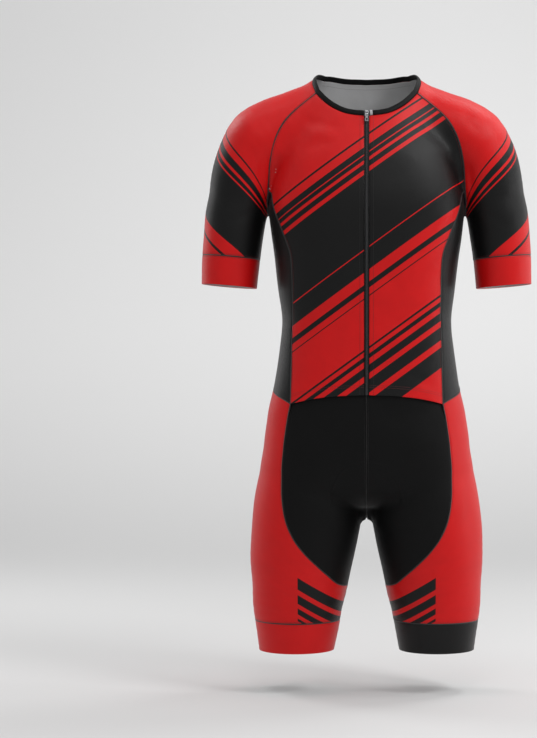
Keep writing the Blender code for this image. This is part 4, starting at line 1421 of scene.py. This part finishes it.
sewn("lining_stitches", stitch_row(points - upright * LINING_DEPTH, -upright), thread_grey)


# Collar: a rounded binding, open at the zip
COLLAR_DEPTH = 0.0022
COLLAR_ROWS = 6
COLLAR_BULGE = 0.0006
# The share of the collar's height over which its foot comes out of the cloth
FOOT_SHARE = 0.12
CUT_END = ZIP_WIDTH / 2 + 0.0003
neck_half = joined(front[0], neck_side, neck_back[::-1])
neck = np.concatenate([neck_half, mirrored(neck_half)[-2::-1]])


def collar_lines(loop):
    """Foot and crown of the collar's outer face, and the cloth's normals, round a neck line."""
    upright = outward(loop)
    rise = unit(np.cross(np.gradient(loop, axis=0), upright))
    rise *= np.where(rise[:, 2] < 0, -1, 1)[:, None]
    top_way = unit(rise + [0, 0, 0.55])
    foot = loop + rise * 0.00015 + upright * 0.0003
    crown = foot + rise * COLLAR_HEIGHT / 2 + top_way * COLLAR_HEIGHT / 2
    return foot, crown, upright


def binding(name, loop, material, proud=0.0, cut_end=None):
    """A strip folded over the neck edge: from its foot outside, over the top and down the inside."""
    foot, crown, upright = collar_lines(loop)
    rows = []
    for t in np.linspace(0, 1, COLLAR_ROWS):
        bulge = proud + COLLAR_BULGE * math.sin(math.pi * t) - SUNK * math.exp(-((t / FOOT_SHARE) ** 2))
        rows.append(foot + (crown - foot) * t + upright * bulge)
    way = unit(crown - foot)
    for angle in np.linspace(0, math.pi, 6)[1:-1]:
        bend = upright * math.cos(angle) + way * math.sin(angle)
        rows.append(crown - upright * COLLAR_DEPTH / 2 + bend * (COLLAR_DEPTH / 2 + proud))
    for t in np.linspace(1, 0, COLLAR_ROWS):
        rows.append(foot + (crown - foot) * t - upright * (COLLAR_DEPTH + proud))
    grid = np.array(rows)
    if cut_end:
        grid[:, 0, 0] = cut_end
        grid[:, -1, 0] = -cut_end
    count, around = grid.shape[:2]
    length = steps_along(loop)
    reach = steps_along(grid[:, around // 2])
    places = np.stack(np.broadcast_arrays(length[None], reach[:, None]), 2).reshape(-1, 2)
    faces = strip_faces(count, around, True)
    piece = mesh_piece(name, grid.reshape(-1, 3), faces, places, (material,))
    turned_out(piece)
    return piece


def turned_out(piece):
    """Turns every face of a closed piece outwards."""
    mesh = bmesh.new()
    mesh.from_mesh(piece.data)
    bmesh.ops.recalc_face_normals(mesh, faces=mesh.faces)
    mesh.to_mesh(piece.data)
    mesh.free()


black_binding = cloth_material("black_binding", BLACK, roughness=(0.50, 0.60), sheen=0.02, gloss=0.12)
neck_loop = settle(drawn_along(neck, np.linspace(0, len(neck) - 1, (len(neck) - 1) * 5 + 1)))
collar = binding("collar_binding", neck_loop, black_binding, cut_end=CUT_END)
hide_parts("collar")

# The zip tape's end, folded over the collar on the wearer's left
TAPE_END = (0.0056, 0.0100)
grey_tape = plain_material("grey_tape", (0.36, 0.36, 0.37), 0.6)
at = np.interp(np.linspace(*TAPE_END, 6), neck[:8, 0], np.arange(8))
tape_end = binding("zip_tape_end", settle(drawn_along(neck, at)), grey_tape, proud=0.0005)

# Zip: tape, coil, and where its top end is
ZIP_PROUD = 0.0005
COIL_PITCH = 0.00125
# A coil turn's length, width and height, its middle's distance from the zip's, and its lift
COIL_TURN = (0.0029, 0.00078, 0.0009)
COIL_ASIDE = 0.0009
COIL_LIFT = 0.00003
foot, crown, _ = collar_lines(neck)
zip_line = np.concatenate([crown[:1], foot[:1], chest_line[1:]])
zip_line[:, 0] = ZIP_WIDTH / 2
zip_proud = zip_line + outward(zip_line) * ZIP_PROUD
rail = zip_proud * [0, 1, 1]


def even_points(line, pitch):
    """Points at an even pitch along a line, and the way on at each."""
    run = steps_along(line)
    at = np.arange(pitch / 2, run[-1], pitch)
    way = read_at(run, line, at + COIL_LOOK) - read_at(run, line, at - COIL_LOOK)
    return read_at(run, line, at), unit(way)


def zip_tape():
    """The woven tape, a flat strip with a raised rib on each side of the coil."""
    line = drawn_along(rail, np.linspace(0, len(rail) - 1, (len(rail) - 1) * 5 + 1))
    out = np.cross(unit(np.gradient(line, axis=0)), [1.0, 0, 0])
    out *= np.where(out[:, 1] > 0, -1, 1)[:, None]
    profile = (
        (-4.0, -0.9), (-4.0, -0.25), (-3.4, -0.05), (-2.7, -0.05), (-2.3, -0.3),
        (2.3, -0.3), (2.7, -0.05), (3.4, -0.05), (4.0, -0.25), (4.0, -0.9),
    )
    length = steps_along(line)
    points = [line + np.array([x, 0, 0]) / 1000 + out * b / 1000 for x, b in profile]
    places = [np.stack([np.full(len(line), x / 1000), length], 1) for x, b in profile]
    faces = strip_faces(len(profile), len(line), True)
    piece = mesh_piece("zip_tape", np.concatenate(points), faces, np.concatenate(places), (tape,))
    turned_out(piece)
    for face in piece.data.polygons:
        face.use_smooth = False
    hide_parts("zip")


def zip_coil():
    """The closed coil: two rows of turns that lock in the middle."""
    blocks = []
    points, ways = even_points(rail, COIL_PITCH)
    for side, start in ((1, 0.0), (-1, COIL_PITCH / 2)):
        for point, way in zip(points + ways * start, ways):
            out = np.cross(way, [1.0, 0, 0])
            out *= -1 if out[1] > 0 else 1
            scaled = GRAIN_POINTS * COIL_TURN + [side * COIL_ASIDE, 0, 0]
            blocks.append(point + out * COIL_LIFT + scaled @ np.array([[1.0, 0, 0], way, out]))
    return sewn("zip_coil", blocks, coil)


tape = cloth_material("zip_tape_weave", (0.006, 0.006, 0.006), roughness=(0.6, 0.7), sheen=0.02, gloss=0.15)
coil = plain_material("coil_plastic", (0.028, 0.028, 0.030), 0.40)
zip_tape()
zip_coil()

# Slider and pull tab, in the slider's own frame: x, a down the zip, b away from the cloth
SLIDER_REACH = (0.0004, 0.0230)
top, low = read_at(steps_along(rail), rail, SLIDER_REACH)
DOWN = unit(low - top)
OUT = np.cross(DOWN, [1.0, 0.0, 0.0])
OUT *= -1 if OUT[1] > 0 else 1
SLIDER_FRAME = np.array([[1.0, 0.0, 0.0], DOWN, OUT])


def rounded_outline(corners, radius, steps=5):
    """A closed outline in x and a with its corners rounded."""
    corners = np.array(corners, float)
    found = []
    for before, corner, after in zip(np.roll(corners, 1, 0), corners, np.roll(corners, -1, 0)):
        start, end = corner + unit(before - corner) * radius, corner + unit(after - corner) * radius
        for t in np.linspace(0, 1, steps):
            found.append(start * (1 - t) ** 2 + corner * 2 * t * (1 - t) + end * t**2)
    return np.array(found)


def plate(outlines, low, high, bevel):
    """A plate with rounded edges out of an outline and its holes, in millimetres, as an unlinked mesh."""
    mesh = bmesh.new()
    rims = []
    for outline in outlines:
        verts = [mesh.verts.new((x, a, low)) for x, a in outline]
        rims += [mesh.edges.new((verts[k], verts[(k + 1) % len(verts)])) for k in range(len(verts))]
    bmesh.ops.triangle_fill(mesh, use_beauty=True, edges=rims)
    raised = bmesh.ops.extrude_face_region(mesh, geom=mesh.faces[:])
    verts = [part for part in raised["geom"] if isinstance(part, bmesh.types.BMVert)]
    bmesh.ops.translate(mesh, verts=verts, vec=(0, 0, high - low))
    bmesh.ops.recalc_face_normals(mesh, faces=mesh.faces)
    sharp = [edge for edge in mesh.edges if len(edge.link_faces) == 2 and edge.calc_face_angle() > 1.2]
    bmesh.ops.bevel(mesh, geom=sharp, offset=bevel, segments=3, profile=0.5, affect="EDGES")
    return mesh


def bridge():
    """The arch over the slider that holds the pull tab, as an unlinked mesh."""
    section = [(-1.1, -0.3), (-0.85, -0.52), (0.85, -0.52), (1.1, -0.3)]
    section += [(-x, -off) for x, off in section]
    path = [(1.75, 2.4), (1.75, 4.6), (1.95, 5.25), (2.55, 5.62), (3.65, 5.68)]
    path += [(4.75, 5.62), (5.35, 5.25), (5.55, 4.6), (5.55, 2.4)]
    path = np.array(path)
    way = unit(np.gradient(path, axis=0))
    side = np.stack([-way[:, 1], way[:, 0]], 1)
    mesh = bmesh.new()
    rings = []
    for (a, b), (sa, sb) in zip(path, side):
        rings.append([mesh.verts.new((x, a + sa * off, b + sb * off)) for x, off in section])
    for one, two in zip(rings[:-1], rings[1:]):
        for k in range(8):
            mesh.faces.new((one[k], one[(k + 1) % 8], two[(k + 1) % 8], two[k]))
    mesh.faces.new(rings[0][::-1])
    mesh.faces.new(rings[-1])
    bmesh.ops.recalc_face_normals(mesh, faces=mesh.faces)
    return mesh


def metal_piece(name, meshes, material, body):
    """Joins unlinked meshes, given in millimetres of the slider's frame, into one piece."""
    points, faces = [], []
    for mesh in meshes:
        total = len(points)
        mesh.verts.ensure_lookup_table()
        points += [tuple(top + np.array(vert.co) / 1000 @ SLIDER_FRAME) for vert in mesh.verts]
        faces += [tuple(total + vert.index for vert in face.verts) for face in mesh.faces]
        mesh.free()
    data = bpy.data.meshes.new(name)
    data.from_pydata(points, [], faces)
    data.materials.append(material)
    piece = linked(name, data)
    turned_out(piece)
    for face in data.polygons:
        face.use_smooth = True
    data.set_sharp_from_angle(angle=math.radians(38))
    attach(piece, body)
    return piece


bright_metal = plain_material("plated_metal", (0.45, 0.45, 0.46), 0.30, 1.0, 900.0, 0.00001)
grey_metal = plain_material("grey_metal", (0.20, 0.20, 0.21), 0.38, 1.0, 900.0, 0.00002)
slider_outline = rounded_outline(
    [(-2.2, 0.0), (2.2, 0.0), (3.0, 1.6), (3.0, 4.4), (2.3, 8.0), (-2.3, 8.0), (-3.0, 4.4), (-3.0, 1.6)], 0.5
)
waist_outline = rounded_outline([(-2.4, 0.6), (2.4, 0.6), (1.8, 7.4), (-1.8, 7.4)], 0.5)
slider = metal_piece(
    "zip_slider",
    [
        plate([slider_outline], 0.45, 1.2, 0.25),
        plate([waist_outline], 1.0, 2.2, 0.1),
        plate([slider_outline], 2.0, 2.8, 0.25),
        bridge(),
    ],
    bright_metal,
    "suit",
)
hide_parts("slider")
tab_side = [(2.4, 3.0), (2.9, 5.0), (2.9, 10.0), (2.2, 13.0), (2.9, 17.0), (2.6, 21.0)]
tab_outline = rounded_outline([(-2.4, 3.0), *tab_side, *[(-x, a) for x, a in tab_side[:0:-1]]], 0.7)
slot_corners = [(-1.7, 4.2), (1.7, 4.2), (1.9, 5.5), (1.7, 10.0), (-1.7, 10.0), (-1.9, 5.5)]
slot_outline = rounded_outline(slot_corners, 0.5)
grip_outline = rounded_outline([(-1.5, 15.6), (1.5, 15.6), (1.5, 19.4), (-1.5, 19.4)], 1.2)
tab = metal_piece(
    "zip_pull_tab",
    [plate([tab_outline, slot_outline, grip_outline], 3.4, 4.5, 0.22)],
    grey_metal,
    "pull_tab",
)
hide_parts("pull_tab")
